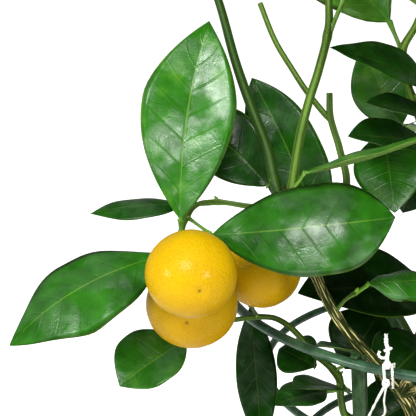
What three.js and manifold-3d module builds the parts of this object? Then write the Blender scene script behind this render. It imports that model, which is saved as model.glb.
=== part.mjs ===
// A calamondin tree in a terracotta pot, with a ring support and a string tie.
// Millimetres, +Z up, origin at the middle of the pot's base. The front is -Y.
import * as THREE from 'three';
import { mergeVertices } from 'three/addons/utils/BufferGeometryUtils.js';
import Module from 'manifold-3d';

const wasm = await Module();
wasm.setup();

// ---- driving dimensions ------------------------------------------------------

const GAP = 0.3; // between pieces that touch

const POT = { height: 186, floor: 9, wall: 7, baseR: 72, rimR: 106, rimHeight: 30, rimStep: 5 };
const DRAIN = { r: 6, at: 44, count: 3 };
const SOIL = { top: 166, mound: 5 };
const TRUNK_R = 8.5;
const TRUNK_BOTTOM = 122; // the trunk goes on down into the soil

// the support: three round rods bent into rings, on three flat stakes
const RINGS = [
  { name: 'ring_top', z: 345, r: 125, rod: 2.2, sides: 6, steps: 36 },
  { name: 'ring_middle', z: 296, r: 103.2, rod: 1.9, sides: 5, steps: 32 },
  { name: 'ring_low', z: 249, r: 85, rod: 1.9, sides: 5, steps: 32 },
];
// a clear space inside each ring: from and to, in x and y
const RING_SPACES = [[[-106, -30], [-38, 38]], [[-85, -25], [-23, 37]], [[-71, -23], [-19, 29]]];
const SPACE_HALF = 8; // how far such a space reaches above and below its ring
const STAKE = { width: 6.8, thick: 2.5, bottom: 140, over: 3.4, finger: 3, fingerThick: 1.4 };
const STAKE_TOP = [-68.6, -98.6]; // where the front stake stands at the top ring
const STAKE_LEAN = [0.1, 0.47]; // how far it leans in for each mm down

// The front spray is set out on a tilted plane: u to the right, v up the plane and w out
// of it. A place in front of the plane closes in towards a point SPRAY.reach out.
const SPRAY = { origin: [-132, -93, 410.3], tilt: 18.3, reach: 600, half: 86 };

const BLADE = { mid: 1.4, root: 0.95 }; // thickness at the midrib, half the stalk's thickness
const CLEAR = 1.4; // room kept between leaves of different shoots

// ---- small helpers -----------------------------------------------------------

const vec = (x, y, z) => new THREE.Vector3(x, y, z);
const rad = THREE.MathUtils.degToRad;
const UP = vec(0, 0, 1);

// A plain sequence of numbers from 0 to 1 that is the same each time.
function draws(seed) {
  let state = seed;
  return () => {
    state = (state * 16807) % 2147483647;
    return state / 2147483647;
  };
}

const tilt = rad(SPRAY.tilt);
const V_AXIS = vec(0, Math.sin(tilt), Math.cos(tilt));
const W_AXIS = vec(0, -Math.cos(tilt), Math.sin(tilt));
const SPRAY_O = vec(...SPRAY.origin);

// A place of the front spray.
function front([u, v, w]) {
  const s = (SPRAY.reach - w) / SPRAY.reach;
  return SPRAY_O.clone().add(vec(u * s, 0, 0)).addScaledVector(V_AXIS, v * s).addScaledVector(W_AXIS, w);
}

// A direction of the front spray.
function frontWay([u, v, w]) {
  return vec(u, 0, 0).addScaledVector(V_AXIS, v).addScaledVector(W_AXIS, w).normalize();
}

// The inverse of front(): where a point shows on the tilted plane.
function shown(point) {
  const d = point.clone().sub(SPRAY_O);
  const w = d.dot(W_AXIS);
  const s = SPRAY.reach / (SPRAY.reach - w);
  return [d.x * s, d.dot(V_AXIS) * s, w];
}

function solidFrom(geometry) {
  const bare = geometry.clone();
  for (const name of Object.keys(bare.attributes)) if (name !== 'position') bare.deleteAttribute(name);
  const merged = mergeVertices(bare, 1e-4);
  return new wasm.Manifold(new wasm.Mesh({
    numProp: 3,
    vertProperties: new Float32Array(merged.attributes.position.array),
    triVerts: new Uint32Array(merged.index.array),
  }));
}

function geometryFrom(solid) {
  const mesh = solid.getMesh();
  const geometry = new THREE.BufferGeometry();
  geometry.setAttribute('position', new THREE.BufferAttribute(mesh.vertProperties, 3));
  geometry.setIndex(new THREE.BufferAttribute(mesh.triVerts, 1));
  return geometry;
}

const join = (solids) => wasm.Manifold.union(solids);

// Keeps the largest body of a solid, so that a scrap left by a cut is dropped.
function mainBody(solid) {
  const bodies = solid.decompose();
  return bodies.reduce((a, b) => (b.volume() > a.volume() ? b : a));
}

// A closed skin over rings of points that all have the same count. An end with one point
// closes to that point.
function loft(rings) {
  const places = [];
  const faces = [];
  const starts = rings.map((ring) => {
    const start = places.length;
    ring.forEach((p) => places.push(p));
    return start;
  });
  const quad = (a, b, c, d) => faces.push(a, b, c, a, c, d);
  for (let i = 0; i + 1 < rings.length; i += 1) {
    const [near, far] = [rings[i], rings[i + 1]];
    const n = Math.max(near.length, far.length);
    for (let k = 0; k < n; k += 1) {
      const next = (k + 1) % n;
      const [a, b] = [starts[i], starts[i + 1]];
      if (near.length === 1) faces.push(a, b + next, b + k);
      else if (far.length === 1) faces.push(a + k, a + next, b);
      else quad(a + k, a + next, b + next, b + k);
    }
  }
  const cap = (ring, start, out) => {
    for (let k = 1; k + 1 < ring.length; k += 1) {
      faces.push(start, start + (out ? k : k + 1), start + (out ? k + 1 : k));
    }
  };
  cap(rings[0], starts[0], false);
  cap(rings[rings.length - 1], starts[rings.length - 1], true);
  const geometry = new THREE.BufferGeometry();
  geometry.setAttribute('position', new THREE.Float32BufferAttribute(places.flatMap((p) => p.toArray()), 3));
  geometry.setIndex(faces);
  const solid = solidFrom(geometry);
  if (solid.volume() >= 0) return solid;
  for (let i = 0; i < faces.length; i += 3) [faces[i], faces[i + 1]] = [faces[i + 1], faces[i]];
  geometry.setIndex(faces);
  return solidFrom(geometry);
}

// A tapered round stem through points, with a radius at each.
function stem(points, radii, sides = 5, grow = 0) {
  let side = null;
  const rings = points.map((p, i) => {
    const before = points[Math.max(i - 1, 0)];
    const after = points[Math.min(i + 1, points.length - 1)];
    const along = after.clone().sub(before).normalize();
    if (!side) side = vec(1, 0, 0).cross(along).lengthSq() > 0.1 ? vec(1, 0, 0) : vec(0, 1, 0);
    side = side.clone().addScaledVector(along, -side.dot(along)).normalize();
    const other = along.clone().cross(side);
    return Array.from({ length: sides }, (_, k) => {
      const a = (2 * Math.PI * k) / sides;
      return p.clone().addScaledVector(side, (radii[i] + grow) * Math.cos(a))
        .addScaledVector(other, (radii[i] + grow) * Math.sin(a));
    });
  });
  return loft(rings);
}

function ball(centre, r, squash, sides, rows) {
  const geometry = new THREE.SphereGeometry(r, sides, rows).rotateX(Math.PI / 2).scale(1, 1, squash);
  return solidFrom(geometry.translate(centre.x, centre.y, centre.z));
}

// ---- one leaf ----------------------------------------------------------------
//
// leaf: root (on the stem), base (where the blade starts), tip, face (the way its upper
// side looks), width, widest (0 to 1 along it), arch (how far its middle stands up),
// hook (how far its tip turns down), bend (how far its midrib curves sideways), fold
// (how far its halves are folded up, degrees), twist (degrees, base to tip) and tipFull
// (how full its tip is).

const BLADE_STOPS = { fine: [0.14, 0.38, 0.64, 0.88], plain: [0.26, 0.7] };
const NARROW = 26; // blades up to this width are always plain
const BLADE_FULL = { base: 2.2, tip: 1.9 }; // how full the blade is towards each end
const [BLUNT, POINTED] = [3, 1.45]; // the same towards a blunt and a pointed tip

function halfWidth(leaf, t) {
  const nearBase = t < leaf.widest;
  const x = nearBase ? t / leaf.widest : (1 - t) / (1 - leaf.widest);
  return (leaf.width / 2) * (1 - (1 - x) ** (nearBase ? BLADE_FULL.base : leaf.tipFull));
}

function bladeFrame(leaf) {
  const chord = leaf.tip.clone().sub(leaf.base);
  const length = chord.length();
  const along = chord.clone().divideScalar(length);
  const face = leaf.face.clone().addScaledVector(along, -leaf.face.dot(along)).normalize();
  const side = along.clone().cross(face);
  const centre = (t) => {
    const rise = leaf.arch * 4 * t * (1 - t) - leaf.hook * Math.max(0, (t - 0.6) / 0.4) ** 2;
    return leaf.base.clone().addScaledVector(chord, t).addScaledVector(face, length * rise)
      .addScaledVector(side, length * leaf.bend * 4 * t * (1 - t));
  };
  return { length, along, face, side, centre };
}

function leafSolid(leaf, { extra = 0, stalk = true } = {}) {
  const { along, face, side, centre } = bladeFrame(leaf);
  const stops = BLADE_STOPS[leaf.fine ? 'fine' : 'plain'];
  const across = (t, half, thick, fold) => {
    const turn = rad(leaf.twist) * (t - 0.5);
    const s = side.clone().multiplyScalar(Math.cos(turn)).addScaledVector(face, Math.sin(turn));
    const n = face.clone().multiplyScalar(Math.cos(turn)).addScaledVector(side, -Math.sin(turn));
    const c = centre(t);
    const edge = (sign) => c.clone().addScaledVector(s, sign * half * Math.cos(fold))
      .addScaledVector(n, half * Math.sin(fold));
    const mid = (sign) => c.clone().addScaledVector(n, (sign * thick) / 2);
    return [edge(1), mid(1), edge(-1), mid(-1)];
  };
  const fold = rad(leaf.fold);
  const thick = BLADE.mid + extra;
  const rings = stops.map((t) => across(t, halfWidth(leaf, t) + extra / 2, thick, fold));
  if (stalk) {
    // The stalk's rings turn with it, halfway where it meets the blade, so that a stalk
    // which runs back from its blade keeps its skin the right way out.
    const stalkWay = leaf.base.clone().sub(leaf.root).normalize();
    const bent = new THREE.Quaternion().setFromUnitVectors(along, stalkWay);
    const stalkRing = (at, share) => {
      const turn = new THREE.Quaternion().slerp(bent, share);
      return across(0, BLADE.root, 2 * BLADE.root, 0)
        .map((p) => p.sub(leaf.base).applyQuaternion(turn).add(at));
    };
    rings.unshift(stalkRing(leaf.root, 1), stalkRing(leaf.base, 0.5));
  } else {
    rings.unshift([centre(0.04)]);
  }
  rings.push([centre(1)]);
  return loft(rings);
}

// ---- the wood ----------------------------------------------------------------

const TRUNK = [vec(0, 0, TRUNK_BOTTOM), vec(0, 0, 185), vec(1, 2, 235), vec(6, 6, 300), vec(10, 6, 370),
  vec(14, 4, 440)];
const TRUNK_RADII = [TRUNK_R, TRUNK_R, 8, 6.4, 5.2, 3.6];

// The pale front limb runs from the trunk, inside the top ring, up to its pruned end.
const FRONT_LIMB = [vec(0, 0, 226), vec(-12, -36, 252), vec(-32, -78, 290), ...[
  [84.4, -84.4, -30], [81.1, -77.9, -27], [71.3, -67, -22], [60.4, -54.9, -16.5], [51.7, -43, -9],
  [44.1, -27.3, -3], [36.5, -10, 0], [28.6, 6.6, 0]].map(front)];
const FRONT_LIMB_RADII = [6, 5, 4, 3.3, 3.1, 2.8, 2.5, 2.3, 2.1, 2.1, 2.2];

// The other limbs rise from the trunk: way is the compass angle from +X, out and up are
// how far they go, and curl turns them upwards.
const LIMBS = [
  { name: 'side', way: 252, from: 236, out: 74, up: 210, curl: 0.75, r: 4.6 },
  { name: 'right_front', way: 312, from: 232, out: 118, up: 168, curl: 0.6, r: 5 },
  { name: 'right', way: 14, from: 246, out: 122, up: 178, curl: 0.6, r: 5 },
  { name: 'back', way: 78, from: 238, out: 112, up: 176, curl: 0.6, r: 5 },
  { name: 'back_left', way: 128, from: 252, out: 42, up: 230, curl: 0.5, r: 4.4 },
];

function limbPoint(limb, f) {
  const out = limb.out * (f ** limb.curl);
  const a = rad(limb.way);
  return vec(out * Math.cos(a), out * Math.sin(a), limb.from + limb.up * (f ** 1.25));
}

function woodSolid(grow) {
  const parts = [
    stem(TRUNK, TRUNK_RADII, 8, grow),
    stem(FRONT_LIMB, FRONT_LIMB_RADII, 6, grow),
  ];
  for (const limb of LIMBS) {
    const stops = [0, 0.12, 0.35, 0.65, 1];
    const path = stops.map((f) => limbPoint(limb, f));
    path[0] = vec(1, 1, limb.from - 6);
    parts.push(stem(path, stops.map((f) => limb.r * (1 - 0.45 * f)), 5, grow));
  }
  // cut stubs of pruned twigs on the front limb
  const stub = (at, to, r) => parts.push(stem([front(at), front(to)], [r, r * 1.15], 6, grow));
  stub([79, -75, -25], [82, -70.5, -18], 2.1);
  stub([79.5, -76.5, -25], [85.5, -74.5, -21], 1.9);
  return mainBody(join(parts));
}

const wood = woodSolid(0);
const woodRoom = woodSolid(GAP);

// ---- pot, soil and support ---------------------------------------------------

function lathe(profile, segments) {
  const points = profile.map(([r, z]) => new THREE.Vector2(r, z));
  return solidFrom(new THREE.LatheGeometry(points, segments).rotateX(Math.PI / 2));
}

const underRim = POT.height - POT.rimHeight;
const innerR = (z) => POT.baseR - POT.wall + ((POT.rimR - POT.rimStep - POT.baseR) * z) / underRim;

function potSolid() {
  const pot = lathe([
    [0, 0], [POT.baseR - 1.5, 0], [POT.baseR, 1.5],
    [POT.rimR - POT.rimStep, underRim], [POT.rimR - 1, underRim],
    [POT.rimR, underRim + 1.5], [POT.rimR, POT.height - 2], [POT.rimR - 2, POT.height],
    [innerR(POT.height) + 1.5, POT.height], [innerR(POT.height), POT.height - 2],
    [innerR(POT.floor), POT.floor], [0, POT.floor],
  ], 24);
  const holes = Array.from({ length: DRAIN.count }, (_, i) => {
    const a = (2 * Math.PI * i) / DRAIN.count;
    const hole = new THREE.CylinderGeometry(DRAIN.r, DRAIN.r, 3 * POT.floor, 8).rotateX(Math.PI / 2);
    return solidFrom(hole.translate(DRAIN.at * Math.cos(a), DRAIN.at * Math.sin(a), 0));
  });
  return holes.reduce((solid, hole) => solid.subtract(hole), pot);
}

// The middle of the front stake at a height, and the level way out from the trunk there.
const STAKE_OUT = vec(STAKE_TOP[0], STAKE_TOP[1], 0).normalize();
function stakeAt(z) {
  const down = RINGS[0].z - z;
  return vec(STAKE_TOP[0] + STAKE_LEAN[0] * down, STAKE_TOP[1] + STAKE_LEAN[1] * down, z);
}

// A stake as a flat strip, with a level finger over and under each ring.
function stakeSolid(turn, grow = 0) {
  const down = stakeAt(STAKE.bottom).sub(stakeAt(RINGS[0].z)).normalize();
  const block = (centre, outward, rise, wide, deep, high) => {
    const box = new THREE.BoxGeometry(wide + 2 * grow, deep + 2 * grow, high + 2 * grow);
    const turned = new THREE.Matrix4().makeBasis(outward.clone().cross(rise), outward, rise);
    return solidFrom(box.applyMatrix4(turned.setPosition(centre)));
  };
  const top = stakeAt(RINGS[0].z + STAKE.over);
  const bottom = stakeAt(STAKE.bottom);
  const outward = STAKE_OUT.clone().addScaledVector(down, -STAKE_OUT.dot(down)).normalize();
  const middle = top.clone().add(bottom).multiplyScalar(0.5);
  const length = top.distanceTo(bottom);
  const parts = [block(middle, outward, down.clone().negate(), STAKE.width, STAKE.thick, length)];
  for (const ring of RINGS) {
    for (const sign of [1, -1]) {
      const reach = STAKE.thick / 2 + 1.5 * ring.rod;
      const off = ring.rod + GAP + STAKE.fingerThick / 2;
      const centre = stakeAt(ring.z + sign * off).addScaledVector(STAKE_OUT, reach / 2);
      parts.push(block(centre, STAKE_OUT, UP, STAKE.finger, reach, STAKE.fingerThick));
    }
  }
  return join(parts).rotate([0, 0, turn]);
}

function ringSolid(ring, grow = 0) {
  const torus = new THREE.TorusGeometry(ring.r, ring.rod + grow, ring.sides, ring.steps);
  return solidFrom(torus.translate(0, 0, ring.z));
}

const STAKE_TURNS = [0, 120, 240];
const stakes = STAKE_TURNS.map((turn) => stakeSolid(turn));
const stakeRooms = STAKE_TURNS.map((turn) => stakeSolid(turn, GAP));

function soilSolid() {
  const r = (z) => innerR(z) - GAP;
  const low = POT.floor + GAP;
  const whole = lathe([
    [0, low], [r(low) - 0.2, low], [r(SOIL.top) - 0.2, SOIL.top - 2], [r(SOIL.top) - 6, SOIL.top],
    [45, SOIL.top + 2], [0, SOIL.top + SOIL.mound],
  ], 24);
  const trunkHole = stem(TRUNK.slice(0, 3), [TRUNK_R, TRUNK_R, 8], 8, GAP);
  return [trunkHole, ...stakeRooms].reduce((solid, hole) => solid.subtract(hole), whole);
}

// ---- the string tie ----------------------------------------------------------

function cordTube(points, r) {
  const curve = new THREE.CatmullRomCurve3(points, false, 'centripetal');
  const sides = 4;
  const section = new THREE.Shape(Array.from({ length: sides }, (_, k) => (
    new THREE.Vector2(r * Math.cos((2 * Math.PI * k) / sides), r * Math.sin((2 * Math.PI * k) / sides)))));
  const steps = Math.max(4, Math.round(curve.getLength() / (STRING_STEP * r)));
  return solidFrom(new THREE.ExtrudeGeometry(section, { steps, extrudePath: curve, bevelEnabled: false }));
}

const STRING_R = 0.65;
const STRING_STEP = 18; // how long a straight piece of string is, in its radii
// two turns go round the top ring's rod and the limb behind it, at these u
const TIE_TURNS = [72, 75.4];
const TURN_FRONT = { v: -67.2, w: -3.6, r: 3.3 };
const TURN_BACK = { v: -69.8, w: -22.8, r: 4 };
const TIE_KNOTS = [{ at: [73.5, -64.4, -0.3], r: 1.4 }, { at: [73, -71.8, -1.6], r: 1.4 }];
const TIE_TAIL = [[73.5, -64.8, -0.3], [73.4, -61.5, 0.6], [73.8, -58, 1.2], [73.1, -55.6, 1.4],
  [73, -53.2, 1.2]];
const TIE_END = [[73, -61.4, 0.8], [71, -61.4, 1.2], [69.9, -60, 1.4], [70.4, -58.8, 1.4]];
const TIE_STAKE_Z = 300; // where the strands go round the front stake
const TIE_STRANDS = [
  { path: [[72.8, -72.2, -2], [69.3, -78.7, -16], [66, -85.3, -32]], side: -1 },
  { path: [[73.2, -72.2, -2], [72.2, -78.7, -15], [71.7, -85.3, -29]], side: 4.2 },
];

function tieSolid() {
  const parts = TIE_KNOTS.map(({ at, r }) => ball(front(at), r, 1, 6, 5));
  for (const u of TIE_TURNS) {
    const { v, w, r } = TURN_FRONT;
    const back = TURN_BACK;
    const turn = [[v + r, w], [v, w + r], [v - r, w], [back.v - back.r, back.w], [back.v, back.w - back.r],
      [back.v + back.r, back.w], [v + r, w]];
    parts.push(cordTube(turn.map((place) => front([u, ...place])), STRING_R));
  }
  parts.push(cordTube(TIE_TAIL.map(front), STRING_R * 1.5), cordTube(TIE_END.map(front), STRING_R));
  // the strands end in a turn round the stake
  const across = UP.clone().cross(STAKE_OUT).negate();
  const onStake = (side, out) => stakeAt(TIE_STAKE_Z).addScaledVector(across, side)
    .addScaledVector(STAKE_OUT, out);
  const [wide, deep] = [STAKE.width / 2 + 1.1, STAKE.thick / 2 + 1.1];
  for (const { path, side } of TIE_STRANDS) {
    parts.push(cordTube([...path.map(front), onStake(side, deep)], STRING_R));
  }
  const turn = [[wide, deep], [wide, -deep], [-wide, -deep], [-wide, deep], [wide, deep]];
  for (let i = 0; i + 1 < turn.length; i += 1) {
    parts.push(stem([onStake(...turn[i]), onStake(...turn[i + 1])], [STRING_R, STRING_R], 4));
    parts.push(ball(onStake(...turn[i]), STRING_R * 1.1, 1, 4, 3));
  }
  return parts;
}

// ---- fruits ------------------------------------------------------------------

// way: from the fruit's middle towards its stalk; stalk: where that leaves its shoot
const FRONT_FRUITS = [
  { name: 'fruit_front', shoot: 'shoot_fruiting', at: [-7, -27, 24], r: 18.2, way: [-0.2, 0.33, -0.92],
    stalk: [[-12, -18, -1.5], [-11, -20.6, 3]] },
  { name: 'fruit_below', shoot: 'shoot_low', at: [-6.6, -39.4, -12.5], r: 19.2, way: [0.1, 0.35, -0.93],
    stalk: [[2, -48, -49.6], [-2, -38, -42]] },
  { name: 'fruit_behind', shoot: 'shoot_fruiting', at: [22.1, -25.4, -33], r: 17, way: [-0.1, 0.97, 0.2],
    stalk: [[20, 0.3, -10.8], [20, -2.5, -22]] },
];
const FRUIT_SQUASH = 0.96;
const CALYX = { r: 3, thick: 1.3, stalkR: 1.1 };

// How far the fruit's skin is from its middle in a direction.
function skinAt(r, way) {
  return 1 / Math.sqrt((way.x ** 2 + way.y ** 2) / r ** 2 + (way.z / (r * FRUIT_SQUASH)) ** 2);
}

// The stalk and calyx that carry a fruit; they are one piece with the shoot.
function stalkSolid(path, centre, r, way) {
  const calyxAt = (far) => centre.clone().addScaledVector(way, skinAt(r, way) + GAP + far);
  const points = [...path, calyxAt(CALYX.thick + 1.6), calyxAt(CALYX.thick), calyxAt(0)];
  const radii = [...path.map(() => CALYX.stalkR), CALYX.stalkR, CALYX.r, CALYX.r * 0.8];
  return stem(points, radii, 4);
}

// ---- the front shoots --------------------------------------------------------
//
// Each has its stem's path and radii, and its leaves as [root, base, tip, face, width,
// widest, arch, hook, bend, fold, twist, tipFull], all places in u, v and w.

const FRONT_SHOOTS = [
  {
    name: 'shoot_fruiting', from: 'wood',
    path: [[34.6, -6, -0.5], [26, -0.5, -7], [16, 0.8, -13], [4, 2.4, -14], [-5, 1, -12], [-10.5, -8, -7],
      [-12, -19, -1]],
    radii: [1.6, 1.3, 1.2, 1.1, 1.1, 1.2, 1.2],
    leaves: [
      [[-10.9, -11, -5], [-11.3, -5, 2], [0.6, 76.8, -8], [0.12, 0.25, 1], 40, 0.56, 0.05, 0, -0.045, 14, 0],
      [[4, 2.4, -14], [-8, 2, -20], [-48.3, -1.6, -16], [0, 1, 0.5], 20, 0.5, 0.02, 0.02, 0, -8, 14],
      [[-12, -17, -2], [-18, -19.5, 2], [-81.5, -56.1, 12], [-0.3, 0.6, 0.75], 41.5, 0.55, 0.05, 0.01, 0.06,
        -12, 0, POINTED],
      [[-8, -4, -9.6], [1.6, -11, 7], [76.8, -3.4, 16], [0.05, 0.36, 1], 40, 0.58, 0.05, 0.02, 0.03, -12, 0,
        BLUNT],
    ],
  },
  {
    name: 'shoot_tall', from: 'wood',
    path: [[28.8, 5.5, 0], [27.2, 11, -2.5], [24.4, 23.8, -5], [17.6, 41.8, -8], [11.2, 60.3, -11],
      [4.2, 85.3, -15], [-6, 112, -20], [-10, 140, -26]],
    radii: [2.2, 2.3, 2.2, 2.1, 1.9, 1.7, 1.5, 1.1],
    leaves: [
      [[27.2, 11, -3], [24.6, 9, -9], [-10, 38, -26], [-0.3, 0.3, 1], 31, 0.5, 0.05, 0, 0.045, 24, -20],
      [[-2, 100, -18], [-9, 104, -16], [-62, 128, 6], [-0.3, 0.8, 0.5], 31, 0.5, 0.06, 0.04, 0, 14, 10],
      [[-5, 110, -19], [3, 113, -18], [50, 134, -2], [0.3, 0.8, 0.5], 31, 0.5, 0.06, 0.04, 0, 14, 0],
      [[-8, 122, -22], [-8, 127, -17], [-24, 152, 38], [0, 0.8, 0.6], 30, 0.5, 0.06, 0.04, 0, 14, 0],
      [[-9, 130, -24], [-12, 134, -30], [-38, 160, -74], [0, 0.9, -0.2], 32, 0.5, 0.06, 0.04, 0, 14, 0],
      [[-10, 138, -26], [-8, 144, -26], [8, 205, -20], [-0.9, 0.2, 0.5], 31, 0.5, 0.06, 0.04, 0, 14, 0],
    ],
  },
  {
    name: 'shoot_bright', from: 'wood',
    path: [[33.6, 0, 0], [34.6, 9.1, 0], [37.6, 28.7, 2], [41.4, 44, 3], [45.2, 55.9, 2], [49.4, 73.4, 0],
      [49.6, 86, -2], [51, 112, -8], [57, 138, -14]],
    radii: [1.9, 1.9, 1.85, 1.8, 1.75, 1.7, 1.5, 1.3, 1],
    leaves: [
      [[34.4, 8, 0], [39.5, 14.5, 7], [95, 31, 6], [-0.1, 1, 0.1], 24, 0.45, -0.03, 0, 0, 12, 0],
      [[49.2, 70.5, 0], [56.5, 88, 4], [62, 150, 30], [-0.3, 0.2, 1], 30, 0.5, 0.06, 0.04, 0, 14, 0],
      [[54, 124, -11], [49, 130, -19], [20, 146, -68], [0, 1, -0.2], 30, 0.5, 0.06, 0.04, 0, 14, 0],
      [[53, 122, -10], [58, 128, -14], [98, 148, -44], [0.2, 1, 0.1], 31, 0.5, 0.06, 0.04, 0, 14, 0],
      [[55, 130, -12], [50, 135, -8], [28, 162, 36], [0, 0.8, 0.6], 30, 0.5, 0.06, 0.04, 0, 14, 0],
      [[57, 136, -14], [60, 142, -15], [78, 200, -18], [-0.8, 0.1, 0.6], 31, 0.5, 0.06, 0.04, 0, 14, 0],
    ],
  },
  {
    name: 'shoot_pruned', from: 'wood',
    path: [[39.5, -15, -1], [50, -6, -14], [56.7, 9.1, -18], [53.9, 24.4, -18], [50.2, 37.4, -17],
      [49.8, 47.2, -16]],
    radii: [1.6, 1.6, 1.6, 1.55, 1.5, 1.4],
    side: {
      path: [[50.4, 36, -17], [48, 38.4, -18], [40.9, 47.2, -19], [34.4, 57, -20], [27.3, 69, -21],
        [21.3, 84, -22]],
      radii: [1.3, 1.3, 1.25, 1.2, 1.15, 1.1],
    },
    leaves: [
      [[50, -6, -14], [47, -11, -24], [18, 53.4, -22], [-0.2, 0.1, 1], 29, 0.45, 0.03, 0, 0.02, 10, 0, BLUNT],
    ],
  },
  {
    name: 'shoot_right', from: 'wood',
    path: [[106, -5, -38], [96, 10, -37], [88, 34, -34], [82, 50, -28], [79.5, 63.5, -25], [85.3, 75, -26],
      [95, 98, -30], [103, 124, -38]],
    radii: [2, 1.9, 1.8, 1.8, 1.7, 1.5, 1.4, 1],
    leaves: [
      [[79.7, 64, -25], [74.6, 76.1, -22], [28, 124, -34], [-0.1, 0.25, 1], 36, 0.45, 0.04, 0.02, 0, 10, 0],
      [[84, 45, -29], [92, 50.4, -22], [49.8, 65.7, 8], [0.1, 0.75, 0.9], 24, 0.4, 0.03, 0, 0, 12, 0,
        POINTED],
      [[87, 36, -33], [79, 33, -36], [63, 66, -28], [-0.4, 0.2, 1], 26, 0.5, 0.03, 0, 0, 8, 0],
      [[86, 40, -31], [95, 36, -20], [64.6, 42.9, -2], [0.2, 0.9, 0.5], 22, 0.5, 0.03, 0, 0, 10, 0],
      [[89, 32, -36], [92, 26, -34], [57.4, 29.4, -14], [-0.1, 0.8, 0.7], 25, 0.55, 0.03, 0, 0, 10, 0],
      [[91.5, 24, -35.5], [72, 31, -40], [76.7, -1.8, -24], [-0.1, 0.3, 1], 31, 0.5, 0.03, 0.02, 0, 8, 0],
      [[93.3, 18, -36], [90, 28, -56], [80, -2, -52], [0.2, 0.3, 1], 30, 0.5, 0.03, 0.02, 0, 8, 0],
      [[95, 98, -30], [90, 104, -34], [58, 112, -72], [0, 1, 0], 30, 0.5, 0.06, 0.04, 0, 14, 0],
      [[101, 118, -36], [104, 124, -34], [140, 150, 4], [0.2, 0.9, 0.4], 31, 0.5, 0.06, 0.04, 0, 14, 0],
    ],
  },
  {
    name: 'shoot_low', from: 'wood',
    path: [[92, -100.8, -52], [73.8, -90.8, -50.5], [66.3, -86.2, -54.4], [57, -85.6, -48.6],
      [54.5, -78, -44], [53.3, -68.9, -43], [43, -59, -43], [33.8, -49, -43], [25.6, -44.8, -46],
      [10, -46, -50], [-4, -49, -49]],
    radii: [2, 1.9, 1.8, 1.7, 1.6, 1.5, 1.4, 1.3, 1.2, 1.1, 0.9],
    leaves: [
      [[-3, -49, -49], [-9, -54, -44], [-36.3, -72.8, -30], [-0.2, 0.5, 0.8], 32, 0.55, 0.03, 0.02, 0, 19, 0,
        BLUNT],
      [[20, -44, -46], [17.4, -40, -70], [22, -98, -74], [0.05, 0.1, 1], 19, 0.5, 0.02, 0, 0, 8, 0],
      [[44, -60, -43], [44, -65, -47], [29, -57.5, -56], [0.2, 0.5, 0.8], 24, 0.5, 0.03, 0.02, 0, 10, 0],
      [[54, -74, -43], [48.5, -75, -44], [27.6, -80.6, -26], [0.1, 0.9, 0.5], 19, 0.5, 0.03, 0.02, 0, 8, 0],
      [[53.6, -69, -43], [57.5, -75, -47], [35.2, -73.5, -16], [0, 1, 0.35], 24, 0.5, 0.03, 0.02, 0, 8, 0],
      [[51, -67, -43], [63, -60, -40], [44, -56.4, -30], [0, 1, 0.1], 20, 0.5, 0.03, 0.02, 0, 8, 0],
      [[57, -85.6, -48.6], [50, -91, -46], [26, -112, -40], [0, 0.9, 0.5], 24, 0.5, 0.03, 0.02, 0, 8, 0],
    ],
  },
  {
    name: 'shoot_shaded', from: 'wood',
    path: [[105, -75.4, -90.5], [98, -70, -82], [91, -62, -73], [84, -54, -66], [78, -44, -60],
      [70, -38, -56]],
    radii: [2, 2, 1.9, 1.8, 1.7, 1.4],
    leaves: [
      [[84, -56, -66], [92, -34, -70], [37.4, -34, -28], [-0.1, 0.6, 0.9], 41, 0.5, 0.03, 0.02, 0, 14, 0],
      [[72, -39, -57], [71, -42, -62], [56, -66, -58], [-0.2, 0.4, 1], 34, 0.5, 0.03, 0.02, 0, 8, 0],
      [[90, -64, -73], [90, -54, -60], [69.7, -74, -32], [0.1, 0.5, 1], 35, 0.5, 0.03, 0.02, 0, 8, 0],
      [[96, -68, -80], [93, -74, -70], [57, -94, -60], [0.1, 0.3, 1], 32, 0.5, 0.03, 0.02, 0, 8, 0],
    ],
  },
  {
    name: 'leaf_on_limb', from: 'wood',
    path: [[51.9, -43.2, -8.5], [56, -38, -4], [60.4, -34.9, -2]],
    radii: [0.9, 0.8, 0.8],
    leaves: [
      [[60.4, -34.9, -2], [65.6, -31.2, -2], [104, -30, -12], [0.1, 0.8, 0.7], 20, 0.45, 0.03, 0.02, 0,
        -20, 0],
    ],
  },
];

function frontLeaf(row) {
  const [root, base, tip, face, width, widest, arch, hook, bend, fold, twist, tipFull = BLADE_FULL.tip] = row;
  const fine = width > NARROW && Math.abs(tip[0]) < 104 && Math.abs(tip[1]) < 100;
  return {
    root: front(root), base: front(base), tip: front(tip), face: frontWay(face),
    width, widest, arch, hook, bend, fold, twist, tipFull, fine,
  };
}

// ---- the rest of the crown ---------------------------------------------------
//
// A shoot grows from a limb at f along it, towards a compass angle and a rise in degrees.

const SHOOTS = [];
function shootsOn(limb, rows) {
  rows.forEach(([f, way, rise, length, leaves, fruitAt], i) => {
    const name = `shoot_${limb}_${i + 1}`;
    SHOOTS.push({ name, limb, f, way, rise, length, leaves, fruitAt, seed: 11 + 7 * SHOOTS.length });
  });
}
shootsOn('side', [[0.85, 268, 30, 96, 8, 0.5], [1, 215, 66, 110, 8]]);
shootsOn('right_front', [[0.4, 285, -4, 92, 7, 0.45], [0.62, 340, 12, 92, 7, 0.5],
  [0.85, 290, 30, 100, 8, 0.6], [1, 325, 55, 110, 8]]);
shootsOn('right', [[0.4, 348, -6, 92, 7], [0.62, 40, 12, 92, 7, 0.5], [0.85, 340, 34, 96, 8, 0.4],
  [1, 20, 58, 110, 8, 0.3]]);
shootsOn('back', [[0.42, 55, 6, 92, 7, 0.5], [0.62, 92, 14, 92, 7, 0.5], [0.85, 50, 34, 96, 8, 0.5],
  [1, 85, 60, 110, 8]]);
shootsOn('back_left', [[0.97, 165, 35, 92, 8], [1, 128, 60, 108, 8, 0.3]]);
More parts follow.
